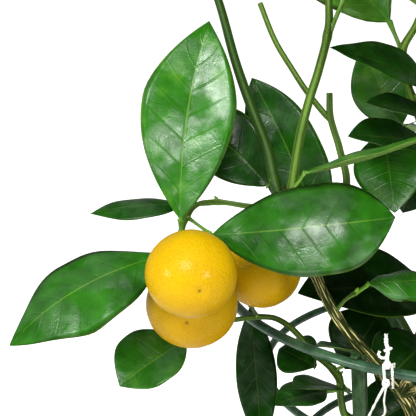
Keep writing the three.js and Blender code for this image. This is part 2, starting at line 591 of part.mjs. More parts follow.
shootsOn('leader', [[0.55, 300, 40, 96, 8, 0.5], [0.85, 230, 60, 110, 8, 0.4], [0.9, 40, 48, 112, 8],
  [1, 120, 80, 140, 8]]);

const LEADER = TRUNK.slice(2); // the top of the trunk, which bears shoots itself

function limbAt(name, f) {
  if (name !== 'leader') return limbPoint(LIMBS.find((limb) => limb.name === name), f);
  const t = f * (LEADER.length - 1);
  const k = Math.min(Math.floor(t), LEADER.length - 2);
  return LEADER[k].clone().lerp(LEADER[k + 1], t - k);
}

function heading(way, rise) {
  const [a, b] = [rad(way), rad(rise)];
  return vec(Math.cos(a) * Math.cos(b), Math.sin(a) * Math.cos(b), Math.sin(b));
}

const STEM_STEPS = 4;
const LEAF_FROM = 0.16; // the first leaf's place along its shoot, and the last one's
const LEAF_TO = 0.98;

function shootPoint(shoot, t) {
  return limbAt(shoot.limb, shoot.f).addScaledVector(heading(shoot.way, shoot.rise), shoot.length * t)
    .addScaledVector(UP, 0.22 * shoot.length * t * t);
}

// The ways in which a leaf may turn to keep clear: degrees round the stem, degrees up,
// and how long it is.
const LEAF_TURNS = [[0, 0, 1], [28, 6, 1], [-28, 6, 1], [50, -14, 0.95], [-50, -14, 0.95], [10, 34, 0.9],
  [-75, 12, 0.85], [75, 12, 0.85], [0, -34, 0.8], [110, 0, 0.75], [-110, 0, 0.75], [180, 20, 0.75]];

function crownLeaf(shoot, k, turn) {
  const draw = draws(shoot.seed * 100 + k + 1);
  draw();
  const last = shoot.leaves - 1;
  const t = LEAF_FROM + ((LEAF_TO - LEAF_FROM) * k) / last;
  const at = shootPoint(shoot, t);
  const along = shootPoint(shoot, t + 0.02).sub(shootPoint(shoot, t - 0.02)).normalize();
  const side = along.clone().cross(UP).normalize();
  const top = side.clone().cross(along);
  const round = rad(shoot.seed * 40 + 137.5 * k + turn[0]);
  const out = side.clone().multiplyScalar(Math.cos(round)).addScaledVector(top, Math.sin(round));
  const open = rad(k === last ? 8 : 62 - 22 * t + 10 * (draw() - 0.5) - turn[1] * 0.5);
  const way = along.clone().multiplyScalar(Math.cos(open)).addScaledVector(out, Math.sin(open));
  way.z += 0.006 * turn[1] - 0.1;
  way.normalize();
  const length = turn[2] * (62 + 22 * draw()) * (k === last ? 0.85 : 1);
  const stalk = 9 + 3 * draw();
  const face = UP.clone().multiplyScalar(1.1).addScaledVector(along, 0.5)
    .addScaledVector(out, 0.15 + 0.3 * (draw() - 0.5)).normalize();
  const base = at.clone().addScaledVector(way, stalk);
  return {
    root: at, base, tip: base.clone().addScaledVector(way, length), face,
    width: length * (0.42 + 0.08 * draw()), widest: 0.48 + 0.08 * draw(), arch: 0.05 + 0.04 * draw(),
    hook: 0.04, bend: 0.05 * (draw() - 0.5), fold: 8 + 14 * draw(), twist: 30 * (draw() - 0.5),
    tipFull: BLADE_FULL.tip, fine: false,
  };
}

// ---- what is placed already, and the tests for room --------------------------

const placed = [];
function place(solid, owner) {
  placed.push({ solid, owner, box: solid.boundingBox() });
}

function boxesMeet(a, b) {
  return [0, 1, 2].every((i) => a.min[i] < b.max[i] && b.min[i] < a.max[i]);
}

function isClear(solid, owner) {
  const box = solid.boundingBox();
  return placed.every((other) => {
    if (other.owner === owner || !boxesMeet(box, other.box)) return true;
    return solid.intersect(other.solid).isEmpty();
  });
}

const FRUIT_TURNS = [0, 60, -60, 110, -110, 160];

function sparesFruit(centre, r) {
  const [u, v] = shown(centre);
  return Math.abs(u) > SPRAY.half + 1.3 * r || Math.abs(v) > SPRAY.half + 1.3 * r;
}

// The front spray stays in view: nothing else of the crown stands in front of or beside
// it, except deep behind the leaves at its right.
function sparesFront(leaf) {
  const { centre, side } = bladeFrame(leaf);
  for (const t of [0, 0.15, 0.35, 0.55, 0.75, 0.9, 1]) {
    const half = t === 0 || t === 1 ? 0 : halfWidth(leaf, t);
    for (const sign of [-1, 0, 1]) {
      const [u, v, w] = shown(centre(t).addScaledVector(side, sign * half));
      const inside = Math.abs(u) < SPRAY.half && Math.abs(v) < SPRAY.half;
      const behind = w < -60 && u > 60 && ((v > 8 && v < 60) || (v > -86 && v < -24));
      if (inside && !behind) return false;
    }
  }
  return true;
}

// ---- building ----------------------------------------------------------------

const root = new THREE.Group();
const LOOKS = {
  terracotta: { color: '#b4663f', roughness: 0.85 },
  soil: { color: '#3a2a1e', roughness: 1 },
  bark: { color: '#9a8a5c', roughness: 0.9 },
  leaf: { color: '#2f7a2c', roughness: 0.35 },
  fruit: { color: '#e8a613', roughness: 0.4 },
  coated: { color: '#2f5a44', roughness: 0.4 },
  string: { color: '#f2f2ee', roughness: 0.8 },
};

function add(name, solid, look) {
  const material = new THREE.MeshStandardMaterial({ metalness: 0, ...LOOKS[look] });
  const mesh = new THREE.Mesh(geometryFrom(solid), material);
  mesh.name = name;
  root.add(mesh);
}

const pot = potSolid();
add('pot', pot, 'terracotta');
add('soil', soilSolid(), 'soil');
add('wood', wood, 'bark');
RINGS.forEach((ring) => add(ring.name, ringSolid(ring), 'coated'));
stakes.forEach((stake, i) => add(`stake_${i + 1}`, stake, 'coated'));

place(pot, 'pot');
place(woodSolid(1), 'wood');
RINGS.forEach((ring) => place(ringSolid(ring, 1), ring.name));
stakeRooms.forEach((room, i) => place(room, `stake_${i + 1}`));

const tieRoom = [woodRoom, ...RINGS.map((ring) => ringSolid(ring, GAP)), ...stakeRooms];
const tie = mainBody(tieRoom.reduce((solid, other) => solid.subtract(other), join(tieSolid())));
add('tie', tie, 'string');
place(tie, 'tie');

for (const fruit of FRONT_FRUITS) {
  const centre = front(fruit.at);
  add(fruit.name, ball(centre, fruit.r, FRUIT_SQUASH, 12, 8), 'fruit');
  place(ball(centre, fruit.r + 0.8, FRUIT_SQUASH, 14, 9), fruit.name);
}
RINGS.forEach((ring, i) => {
  const [from, to] = RING_SPACES[i];
  const space = new THREE.BoxGeometry(to[0] - from[0] + 2, to[1] - from[1] + 2, 2 * SPACE_HALF + 2);
  place(solidFrom(space.translate((from[0] + to[0]) / 2, (from[1] + to[1]) / 2, ring.z)), 'space');
});

const shootParts = new Map();
for (const shoot of FRONT_SHOOTS) {
  const parts = [stem(shoot.path.map(front), shoot.radii)];
  if (shoot.side) parts.push(stem(shoot.side.path.map(front), shoot.side.radii));
  shoot.leaves.forEach((row) => parts.push(leafSolid(frontLeaf(row))));
  for (const fruit of FRONT_FRUITS.filter((one) => one.shoot === shoot.name)) {
    parts.push(stalkSolid(fruit.stalk.map(front), front(fruit.at), fruit.r, frontWay(fruit.way)));
  }
  shootParts.set(shoot.name, parts);
  parts.forEach((part) => place(part, shoot.name));
}

for (const shoot of SHOOTS) {
  const path = Array.from({ length: STEM_STEPS + 1 }, (_, i) => shootPoint(shoot, i / STEM_STEPS));
  const parts = [stem(path, path.map((_, i) => 2 - 0.17 * i), 4)];
  parts.forEach((part) => place(part, shoot.name));
  shootParts.set(shoot.name, parts);
}

// A fruit hangs from a shoot at t along its stem, out to the side that has room for it.
for (const shoot of SHOOTS.filter((one) => one.fruitAt)) {
  const draw = draws(shoot.seed * 31);
  draw();
  const r = 14 + 3 * draw();
  const from = shootPoint(shoot, shoot.fruitAt);
  const hang = FRUIT_TURNS.map((turn) => {
    const out = heading(shoot.way + turn, -20);
    return from.clone().addScaledVector(out, 9 + r * 0.5).addScaledVector(UP, -6 - r);
  }).find((centre) => {
    const probe = ball(centre, r + 2, FRUIT_SQUASH, 10, 7);
    return sparesFruit(centre, r) && isClear(probe, null);
  });
  if (hang) {
    const name = shoot.name.replace('shoot', 'fruit');
    add(name, ball(hang, r, FRUIT_SQUASH, 8, 6), 'fruit');
    place(ball(hang, r + 0.8, FRUIT_SQUASH, 10, 7), name);
    const bow = hang.clone().addScaledVector(UP, r + 5);
    const stalkPath = [from, from.clone().lerp(bow, 0.6).addScaledVector(UP, 1.5), bow];
    const stalk = stalkSolid(stalkPath, hang, r, UP.clone());
    shootParts.get(shoot.name).push(stalk);
    place(stalk, shoot.name);
  }
}

for (const shoot of SHOOTS) {
  const parts = shootParts.get(shoot.name);
  for (let k = 0; k < shoot.leaves; k += 1) {
    const found = LEAF_TURNS.map((turn) => crownLeaf(shoot, k, turn)).find((leaf) => {
      if (!sparesFront(leaf)) return false;
      if (!isClear(leafSolid(leaf, { extra: 2 * CLEAR, stalk: false }), null)) return false;
      return isClear(leafSolid(leaf), shoot.name);
    });
    if (found) {
      const solid = leafSolid(found);
      parts.push(solid);
      place(solid, shoot.name);
    }
  }
}

for (const [name, parts] of shootParts) {
  add(name, mainBody(join(parts).subtract(woodRoom)), 'leaf');
}

export default root;
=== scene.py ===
"""Looks of a potted calamondin tree: leafy shoots, fruit, wood, ring support and pot."""

import math
import random
from functools import partial

import bmesh
import bpy
from mathutils import Matrix, Vector, noise
from mathutils.kdtree import KDTree


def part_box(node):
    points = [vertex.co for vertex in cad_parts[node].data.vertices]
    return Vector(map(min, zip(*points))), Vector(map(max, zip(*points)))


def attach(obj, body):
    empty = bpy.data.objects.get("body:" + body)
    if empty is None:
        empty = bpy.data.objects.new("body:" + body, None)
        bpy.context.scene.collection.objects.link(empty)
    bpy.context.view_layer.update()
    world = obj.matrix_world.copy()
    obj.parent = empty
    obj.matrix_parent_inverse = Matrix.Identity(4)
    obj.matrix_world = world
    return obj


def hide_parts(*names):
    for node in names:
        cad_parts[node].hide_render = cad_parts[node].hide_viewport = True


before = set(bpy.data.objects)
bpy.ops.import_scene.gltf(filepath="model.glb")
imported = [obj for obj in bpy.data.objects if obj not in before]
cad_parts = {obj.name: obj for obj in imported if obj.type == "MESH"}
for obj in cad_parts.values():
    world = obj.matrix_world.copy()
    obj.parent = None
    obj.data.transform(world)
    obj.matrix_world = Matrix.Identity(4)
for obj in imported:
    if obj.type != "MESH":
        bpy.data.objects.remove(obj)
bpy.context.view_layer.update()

MM = 0.001
UP = Vector((0, 0, 1))
FULL_TURN = 2 * math.pi
SURFACE, TONE, GROOVE = "surface", "tone", "groove"


# ---- materials ---------------------------------------------------------------------

# Sockets go by their place: a Math node takes its values at 0, 1 and 2; a Map Range takes
# its value at 0, the range it has at 1 and 2 and the range it gets at 3 and 4; a colour Mix
# takes its share at 0 and its colours at 6 and 7, and gives the mixed one at 2.


def hex_colour(text):
    """The linear colour of an sRGB hex value."""
    channels = [int(text[i:i + 2], 16) / 255 for i in (1, 3, 5)]
    return (*[c / 12.92 if c <= 0.04045 else ((c + 0.055) / 1.055) ** 2.4 for c in channels], 1)


def feed(node, values):
    """Gives a node's inputs another node's output, an sRGB hex colour or a plain value."""
    for socket, value in values.items():
        if isinstance(value, bpy.types.NodeSocket):
            node.id_data.links.new(value, node.inputs[socket])
        else:
            node.inputs[socket].default_value = hex_colour(value) if isinstance(value, str) else value


def add_node(tree, kind, values=None, **settings):
    """Adds a node with its settings and what its inputs take, and gives its outputs."""
    made = tree.nodes.new("ShaderNode" + kind)
    for name, value in settings.items():
        setattr(made, name, value)
    feed(made, values or {})
    return made.outputs


def start_material(name, **values):
    """A new material, the call that adds its nodes and its shader with these plain values."""
    material = bpy.data.materials.new(name)
    material.use_nodes = True
    tree = material.node_tree
    shader = tree.nodes["Principled BSDF"]
    feed(shader, {socket.replace("_", " "): value for socket, value in values.items()})
    return material, partial(add_node, tree), shader


def read(add, *names):
    """A spot's place on the part, and what these attributes of the piece hold there."""
    return [add("TexCoord")["Object"], *[add("Attribute", attribute_name=name)["Fac"] for name in names]]


def cells(millimetres):
    """The texture scale whose cells have that size, as the coordinates are in metres."""
    return 1000 / millimetres


def bump_into(add, shader, height, depth, strength):
    """Turns a height pattern, 0 to 1 for that depth in mm, into the shader's normal."""
    made = add("Bump", {"Height": height, "Strength": strength, "Distance": depth * MM})
    feed(shader, {"Normal": made["Normal"]})


VEIN_PAIRS = 8
VEIN_SWEEP = 0.15  # how far up the blade a side vein ends, as a share of its length
BARK_GRAIN = 1.6  # mm
UV_LENGTH = 100  # mm along a limb for each unit of its UV map


def leaf_pattern(add):
    """Where a spot is on a leaf, 0 at the midrib and 1 at the edge, and its veins."""
    spot = add("SeparateXYZ", {0: add("UVMap", uv_map=SURFACE)[0]})
    signed = add("Math", {0: spot[0], 1: 2, 2: -1}, operation="MULTIPLY_ADD")[0]
    across = add("Math", {0: signed}, operation="ABSOLUTE")[0]
    midrib = add("MapRange", {0: across, 1: 0.006, 2: 0.028, 3: 1, 4: 0},
                      interpolation_type="SMOOTHSTEP")[0]
    swept = add("Math", {0: across, 1: -VEIN_SWEEP, 2: spot[1]}, operation="MULTIPLY_ADD")[0]
    steps = add("Math", {0: swept, 1: VEIN_PAIRS}, operation="MULTIPLY")[0]
    near = add("Math", {0: steps, 1: 1}, operation="PINGPONG")[0]
    turned = add("Math", {0: near, 1: 2, 2: -1}, operation="MULTIPLY_ADD")[0]
    lines = add("Math", {0: turned}, operation="ABSOLUTE")[0]
    side = add("MapRange", {0: lines, 1: 0.86, 2: 1, 3: 0, 4: 1}, interpolation_type="SMOOTHSTEP")[0]
    inner = add("MapRange", {0: across, 1: 0.55, 2: 0.95, 3: 1, 4: 0})[0]
    return across, spot[1], midrib, add("Math", {0: side, 1: inner}, operation="MULTIPLY")[0]


def waxy_leaf():
    """Citrus leaf, upper side: a thick waxed skin. A deep green with a broken pale sheen."""
    material, add, shader = start_material("waxy_citrus_leaf", IOR=1.5)
    across, along, midrib, side = leaf_pattern(add)
    place, tone = read(add, TONE)
    mottle = add("TexNoise", {"Vector": place, "Scale": cells(9), "Detail": 4})[0]
    mixed = add("Math", {0: mottle, 1: 0.5, 2: tone}, operation="MULTIPLY_ADD")[0]
    shade = add("Math", {0: mixed, 1: 0.25}, operation="SUBTRACT", use_clamp=True)[0]
    # the tone and mottle run from near-black green to light green; the darkest end is painted shade on
    # leaves deep in the spray
    blade = add("ValToRGB", {0: shade})[0]
    stops = blade.node.color_ramp.elements
    stops[0].color, stops[1].color = hex_colour("#081d03"), hex_colour("#74a038")
    for position, colour in ((0.35, "#133c08"), (0.65, "#2b6a12")):
        stops.new(position).color = hex_colour(colour)
    ribbed = add("Math", {0: side, 1: 0.1, 2: midrib}, operation="MULTIPLY_ADD")[0]
    faint = add("MapRange", {0: shade, 1: 0, 2: 0.6, 3: 0.03, 4: 0.22})[0]
    vein = add("Math", {0: ribbed, 1: faint}, operation="MULTIPLY", use_clamp=True)[0]
    veined = add("Mix", {0: vein, 6: blade, 7: "#9dbb4a"}, data_type="RGBA")[2]
    rim = add("MapRange", {0: across, 1: 0.95, 2: 1, 3: 0, 4: 0.5})[0]
    rimmed = add("Mix", {0: rim, 6: veined, 7: "#7d9c38"}, data_type="RGBA")[2]
    stalk = add("MapRange", {0: along, 1: -0.01, 2: 0.02, 3: 1, 4: 0})[0]
    whole = add("Mix", {0: stalk, 6: rimmed, 7: "#5f8a2c"}, data_type="RGBA")[2]
    patches = add("TexNoise", {"Vector": place, "Scale": cells(7), "Detail": 3})[0]
    rough = add("MapRange", {0: patches, 1: 0.35, 2: 0.65, 3: 0.28, 4: 0.46})[0]
    # the wax is worn off in broad patches, and is thickest on the lightest leaves
    broad = add("TexNoise", {"Vector": place, "Scale": cells(17), "Detail": 3})[0]
    worn = add("MapRange", {0: broad, 1: 0.42, 2: 0.58, 3: 0.12, 4: 1}, interpolation_type="SMOOTHSTEP")[0]
    thick = add("MapRange", {0: shade, 1: 0.1, 2: 0.6, 3: 0.12, 4: 1})[0]
    wax = add("Math", {0: worn, 1: thick}, operation="MULTIPLY")[0]
    feed(shader, {"Base Color": whole, "Roughness": rough, "Specular IOR Level": wax})
    # oil glands under the skin, drawn at about twice their real 0.4 mm so that they show
    glands = add("TexVoronoi", {"Vector": place, "Scale": cells(0.8)})["Distance"]
    skin_high = add("Math", {0: glands, 1: 0.1, 2: patches}, operation="MULTIPLY_ADD")[0]
    high = add("Math", {0: side, 1: -0.35, 2: skin_high}, operation="MULTIPLY_ADD")[0]
    bump_into(add, shader, high, 0.7, 0.6)
    return material


def matt_leaf():
    """Citrus leaf, underside: no wax. Paler, greyer and matt, with ribs that stand out."""
    material, add, shader = start_material("citrus_leaf_underside", Roughness=0.62, IOR=1.4)
    _, _, midrib, side = leaf_pattern(add)
    place, tone = read(add, TONE)
    mottle = add("TexNoise", {"Vector": place, "Scale": cells(6), "Detail": 4})[0]
    # a low tone darkens the underside too: painted shade on leaves deep in the spray
    mixed = add("Math", {0: mottle, 1: 0.6, 2: tone}, operation="MULTIPLY_ADD")[0]
    shade = add("MapRange", {0: mixed, 1: 0.2, 2: 1.3})[0]
    blade = add("Mix", {0: shade, 6: "#3f6526", 7: "#7ea24a"}, data_type="RGBA")[2]
    ribbed = add("Math", {0: side, 1: 0.45, 2: midrib}, operation="MULTIPLY_ADD", use_clamp=True)[0]
    vein = add("Math", {0: ribbed, 1: 0.7}, operation="MULTIPLY")[0]
    whole = add("Mix", {0: vein, 6: blade, 7: "#b4c586"}, data_type="RGBA")[2]
    feed(shader, {"Base Color": whole})
    high = add("Math", {0: side, 1: 0.6, 2: mottle}, operation="MULTIPLY_ADD")[0]
    bump_into(add, shader, high, 0.3, 0.7)
    return material


def cracked_bark(name, ridge, groove, roughness, ridges, length):
    """Bark in long broken ridges: so many round the limb, and so many mm long."""
    material, add, shader = start_material(name, Roughness=roughness, Specular_IOR_Level=0.2)
    place, depth = read(add, GROOVE)
    spot = add("SeparateXYZ", {0: add("UVMap", uv_map=SURFACE)[0]})
    angle = add("Math", {0: spot[0], 1: FULL_TURN}, operation="MULTIPLY")[0]
    turns = [add("Math", {0: angle}, operation=way)[0] for way in ("COSINE", "SINE")]
    around = [add("Math", {0: turn, 1: ridges / FULL_TURN}, operation="MULTIPLY")[0]
              for turn in turns]
    along = add("Math", {0: spot[1], 1: UV_LENGTH / length}, operation="MULTIPLY")[0]
    unrolled = add("CombineXYZ", {0: around[0], 1: around[1], 2: along})[0]
    edges = add("TexVoronoi", {"Vector": unrolled, "Scale": 1}, feature="DISTANCE_TO_EDGE")[0]
    crack = add("MapRange", {0: edges, 1: 0.07, 2: 0.3, 3: 1, 4: 0}, interpolation_type="SMOOTHSTEP")[0]
    fine = add("TexNoise", {"Vector": place, "Scale": cells(BARK_GRAIN), "Detail": 5})[0]
    worn = add("Math", {0: fine, 1: 0.5, 2: crack}, operation="MULTIPLY_ADD")[0]
    mixed = add("Math", {0: depth, 1: 0.45, 2: worn}, operation="MULTIPLY_ADD")[0]
    shade = add("MapRange", {0: mixed, 1: 0.3, 2: 1.15})[0]
    whole = add("Mix", {0: shade, 6: ridge, 7: groove}, data_type="RGBA")[2]
    feed(shader, {"Base Color": whole})
    high = add("Math", {0: crack, 1: -1, 2: fine}, operation="MULTIPLY_ADD")[0]
    bump_into(add, shader, high, 0.5, 0.8)
    return material


def green_bark():
    """Young green bark: smooth and slightly waxed. The lighter tone is this year's growth; a low tone is
    also painted shade on shoots deep in the spray, and the grooves between its ridges are darkened as
    painted shade.
    """
    material, add, shader = start_material("young_green_bark", Roughness=0.45, IOR=1.42,
                                            Specular_IOR_Level=0.3)
    place, tone, depth = read(add, TONE, GROOVE)
    fine = add("TexNoise", {"Vector": place, "Scale": cells(BARK_GRAIN), "Detail": 5})[0]
    stem_green = add("Mix", {0: tone, 6: "#23430f", 7: "#8bb043"}, data_type="RGBA")[2]
    # painted shade: the grooves between the ridges are mixed towards the dark green, with the fine noise as
    # the bark's own uneven tone
    mixed = add("Math", {0: fine, 1: 0.5, 2: depth}, operation="MULTIPLY_ADD")[0]
    shade = add("MapRange", {0: mixed, 1: 0.25, 2: 1.35, 4: 0.75})[0]
    whole = add("Mix", {0: shade, 6: stem_green, 7: "#16300a"}, data_type="RGBA")[2]
    feed(shader, {"Base Color": whole})
    bump_into(add, shader, fine, 0.12, 0.6)
    return material


def dry_wood():
    """Cut wood that has dried: pale cream, darker in its pores, with no sheen."""
    material, add, shader = start_material("dry_cut_wood", Roughness=0.9)
    place, depth = read(add, GROOVE)
    fine = add("TexNoise", {"Vector": place, "Scale": cells(BARK_GRAIN), "Detail": 5})[0]
    mixed = add("Math", {0: fine, 1: 0.5, 2: depth}, operation="MULTIPLY_ADD")[0]
    shade = add("MapRange", {0: mixed, 1: 0.15, 2: 1.25})[0]
    whole = add("Mix", {0: shade, 6: "#d8c79a", 7: "#8f7a4c"}, data_type="RGBA")[2]
    feed(shader, {"Base Color": whole})
    bump_into(add, shader, fine, 0.2, 0.6)
    return material


def fruit_rind():
    """Calamondin rind: oil glands under a thin wax. Orange-yellow, pitted, with small glints."""
    material, add, shader = start_material("calamondin_rind", Coat_Weight=0.08, Coat_Roughness=0.1,
                                            IOR=1.4, Specular_IOR_Level=0.15)
    place, tone, scar = read(add, TONE, GROOVE)
    patches = add("TexNoise", {"Vector": place, "Scale": cells(14), "Detail": 3})[0]
    mixed = add("Math", {0: patches, 1: 0.7, 2: tone}, operation="MULTIPLY_ADD")[0]
    shade = add("MapRange", {0: mixed, 1: 0.3, 2: 1.2})[0]
    rind = add("Mix", {0: shade, 6: "#a98003", 7: "#bf9c04"}, data_type="RGBA")[2]
    glands = add("TexVoronoi", {"Vector": place, "Scale": cells(0.9), "Randomness": 0.8})
    pits = add("MapRange", {0: glands["Distance"], 1: 0.05, 2: 0.45, 3: 0, 4: 1},
                    interpolation_type="SMOOTHSTEP")[0]
    dark = add("MapRange", {0: pits, 1: 0, 2: 1, 3: 0.12, 4: 0})[0]
    pitted = add("Mix", {0: dark, 6: rind, 7: "#c9780a"}, data_type="RGBA")[2]
    whole = add("Mix", {0: scar, 6: pitted, 7: "#5b3a17"}, data_type="RGBA")[2]
    rough = add("MapRange", {0: patches, 1: 0.3, 2: 0.7, 3: 0.3, 4: 0.42})[0]
    feed(shader, {"Base Color": whole, "Roughness": rough})
    bump_into(add, shader, pits, 0.2, 0.8)
    return material


def fired_clay():
    """Unglazed terracotta, thrown and fired: dusty orange with pale lime bloom and turning lines."""
    material, add, shader = start_material("fired_terracotta", Roughness=0.88, IOR=1.5)
    place = read(add)[0]
    broad = add("TexNoise", {"Vector": place, "Scale": cells(45), "Detail": 6})[0]
    fine = add("TexNoise", {"Vector": place, "Scale": cells(1.5), "Detail": 6})[0]
    flat = add("Mapping", {"Vector": place, "Scale": (0.03, 0.03, 1)})[0]
    turning = add("TexNoise", {"Vector": flat, "Scale": cells(3), "Detail": 3})[0]
    clay = add("Mix", {0: fine, 6: "#a2553a", 7: "#c97b54"}, data_type="RGBA")[2]
    lines = add("MapRange", {0: turning, 1: 0.35, 2: 0.65, 3: 0, 4: 0.3})[0]
    turned = add("Mix", {0: lines, 6: clay, 7: "#b96b47"}, data_type="RGBA")[2]
    bloom = add("MapRange", {0: broad, 1: 0.52, 2: 0.72, 3: 0, 4: 0.55})[0]
    whole = add("Mix", {0: bloom, 6: turned, 7: "#dcb9a0"}, data_type="RGBA")[2]
    feed(shader, {"Base Color": whole})
    high = add("Math", {0: turning, 1: 1.5, 2: fine}, operation="MULTIPLY_ADD")[0]
    bump_into(add, shader, high, 0.4, 0.5)
    return material


def two_shades(name, first, second, size, detail, between, bump, upright=1, **values):
    """A material whose two shades lie in soft spots of that size in mm, its bump following.

    between is the range of the noise that goes from the first shade to the second, and an
    upright scale below 1 draws the spots out along Z.
    """
    material, add, shader = start_material(name, **values)
    long = add("Mapping", {"Vector": read(add)[0], "Scale": (1, 1, upright)})[0]
    spots = add("TexNoise", {"Vector": long, "Scale": cells(size), "Detail": detail})[0]
    shade = add("MapRange", {0: spots, 1: between[0], 2: between[1]})[0]
    whole = add("Mix", {0: shade, 6: first, 7: second}, data_type="RGBA")[2]
    feed(shader, {"Base Color": whole})
    bump_into(add, shader, spots, *bump)
    return material


WAXY, UNDER, GREEN_BARK, CUT, RIND, CLAY = (make() for make in (
    waxy_leaf, matt_leaf, green_bark, dry_wood, fruit_rind, fired_clay))
# corky citrus bark: straw-coloured ridges of dead cork, and olive bark between them
BARK = cracked_bark("corky_citrus_bark", "#ccc284", "#27330b", 0.88, 24, 18)
# older bark low on the trunk: weathered grey-brown, with the same long cracks
TRUNK_BARK = cracked_bark("weathered_trunk_bark", "#a39268", "#443a25", 0.92, 18, 30)
# damp peat: near black and crumbly
PEAT = two_shades("peat_potting_soil", "#1d140d", "#4a3423", 2.2, 8, (0.35, 0.7), (1.2, 0.8), Roughness=1)
# puffed volcanic glass: off-white, full of pores and dull
PERLITE = two_shades("expanded_perlite", "#cfcabd", "#f4f1ea", 0.6, 8, (0.35, 0.7), (0.3, 0.8),
                     Roughness=0.95)
# shreds of composted bark: brown fibres with a dry, dull break
CHIPS = two_shades("composted_bark_chips", "#3a2416", "#7a5435", 1.2, 8, (0.35, 0.7), (0.4, 0.8),
                   Roughness=0.9)
# steel wire in a thick green plastic coat: smooth and even, with a long soft highlight
WIRE = two_shades("plastic_coated_wire", "#23402c", "#45694c", 7, 6, (0.4, 0.75), (0.1, 0.4),
                  Roughness=0.26, IOR=1.5)
# moulded polypropylene: mid green and half matt, scuffed a little paler along its length
PLASTIC = two_shades("moulded_polypropylene", "#233c20", "#456339", 2.5, 6, (0.4, 0.8), (0.1, 0.4), 0.12,
                     Roughness=0.45, IOR=1.49, Specular_IOR_Level=0.25)
# twisted cotton: off-white fibres, matt and a little fuzzy
COTTON = two_shades("twisted_cotton", "#cfccc0", "#ffffff", 0.35, 4, (0, 1), (0.15, 0.7), Roughness=0.85,
                    Sheen_Weight=0.4)


# ---- shaping -----------------------------------------------------------------------


def start_mesh():
    """An empty bmesh with the layers that the materials read."""
    bm = bmesh.new()
    bm.loops.layers.uv.new(SURFACE)
    bm.verts.layers.float.new(TONE)
    bm.verts.layers.float.new(GROOVE)
    return bm


def skin(bm, rows, columns, place, surface=None, side=None, tone=0.5):
    """A closed skin: a grid rolled up so that its long sides meet.

    place(row, column) gives a point in mm and how deep in a groove it lies, surface the
    place on the piece's UV map, and side the material of the faces from a column.
    """
    made = bmesh.ops.create_grid(bm, x_segments=rows - 1, y_segments=columns, size=0.5)["verts"]
    uv = bm.loops.layers.uv[SURFACE]
    tones, grooves = bm.verts.layers.float[TONE], bm.verts.layers.float[GROOVE]
    spots = {v: (round((v.co.x + 0.5) * (rows - 1)), round((v.co.y + 0.5) * columns)) for v in made}
    for face in {face for v in made for face in v.link_faces}:
        at = [spots[loop.vert] for loop in face.loops]
        if side:
            face.material_index = side(min(column for _, column in at))
        if surface:
            for loop, (row, column) in zip(face.loops, at):
                loop[uv].uv = surface(row, column)
    for v, (row, column) in spots.items():
        point, groove = place(row, column % columns)
        v.co = point * MM
        v[tones], v[grooves] = tone, groove
    bmesh.ops.remove_doubles(bm, verts=made, dist=1e-7)


def smooth_path(points, stretches):
    """Points along a smooth curve through the given ones, so many to each stretch."""
    last = len(points) - 1
    ways = [(points[min(i + 1, last)] - points[max(i - 1, 0)]).normalized() for i in range(last + 1)]
    path = []
    for i in range(last):
        gap = (points[i + 1] - points[i]).length
        for k in range(stretches):
            t = k / stretches
            path.append(points[i] * (2 * t ** 3 - 3 * t * t + 1) + ways[i] * gap * (t ** 3 - 2 * t * t + t)
                        + points[i + 1] * (3 * t * t - 2 * t ** 3) + ways[i + 1] * gap * (t ** 3 - t * t))
    return path + [points[last]]


def spread(values, stretches):
    """Values between the given ones, so many to each stretch."""
    pairs = zip(values, values[1:])
    return [a + (b - a) * k / stretches for a, b in pairs for k in range(stretches)] + [values[-1]]


def frames(path):
    """Two directions across a path at each of its points, with no twist between them."""
    side = Vector((1, 0, 0)) if abs((path[1] - path[0]).normalized().x) < 0.8 else Vector((0, 1, 0))
    made = []
    for i, _ in enumerate(path):
        way = (path[min(i + 1, len(path) - 1)] - path[max(i - 1, 0)]).normalized()
        side = (side - way * side.dot(way)).normalized()
        made.append((side, way.cross(side)))
    return made


def lengths(path):
    """How far along its path each point lies."""
    total = [0.0]
    for a, b in zip(path, path[1:]):
        total.append(total[-1] + (b - a).length)
    return total


def tube(bm, path, columns, outline, material=0, tone=0.5, across=None):
    """A round skin along a path, closed at both ends.

    outline(i, angle) gives, at a point of the path, how far out it stands and its groove.
    across gives the directions across the path where its own points don't.
    """
    across, far = across or frames(path), lengths(path)
    last = len(path) - 1

    def place(row, column):
        i = min(max(row - 1, 0), last)
        angle = FULL_TURN * column / columns
        out, groove = outline(i, angle)
        if row in (0, last + 2):
            out = 0
        side, other = across[i]
        return path[i] + side * (out * math.cos(angle)) + other * (out * math.sin(angle)), groove

    def surface(row, column):
        return column / columns, far[min(max(row - 1, 0), last)] / UV_LENGTH

    skin(bm, last + 3, columns, place, surface, lambda column: material, tone)


def new_object(bm, name):
    """A new object with the mesh."""
    mesh = bpy.data.meshes.new(name)
    bm.to_mesh(mesh)
    bm.free()
    made = bpy.data.objects.new(name, mesh)
    bpy.context.scene.collection.objects.link(made)
    return made


def dress(bm, name, materials, slot, *nodes, smooth=True):
    """Makes the finished piece that stands for these nodes and rides with the part."""
    bmesh.ops.recalc_face_normals(bm, faces=bm.faces)
    for face in bm.faces:
        face.smooth = smooth
    made = new_object(bm, name)
    for material in materials:
        made.data.materials.append(material)
    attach(made, "root")
    if nodes:
        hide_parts(*nodes)
    return made


# ---- where things are --------------------------------------------------------------

# The front spray is set out on a tilted plane: u to the right, v up the plane and w out
# of it. A place in front of the plane closes in towards a point SPRAY_REACH out.
SPRAY_MIDDLE = Vector((-132, -93, 410.3))
SPRAY_TILT = math.radians(18.3)
SPRAY_REACH = 600
V_AXIS = Vector((0, math.sin(SPRAY_TILT), math.cos(SPRAY_TILT)))
W_AXIS = Vector((0, -math.cos(SPRAY_TILT), math.sin(SPRAY_TILT)))


def front(place):
    """A place of the front spray."""
    u, v, w = place
    s = (SPRAY_REACH - w) / SPRAY_REACH
    return SPRAY_MIDDLE + Vector((u * s, 0, 0)) + V_AXIS * (v * s) + W_AXIS * w


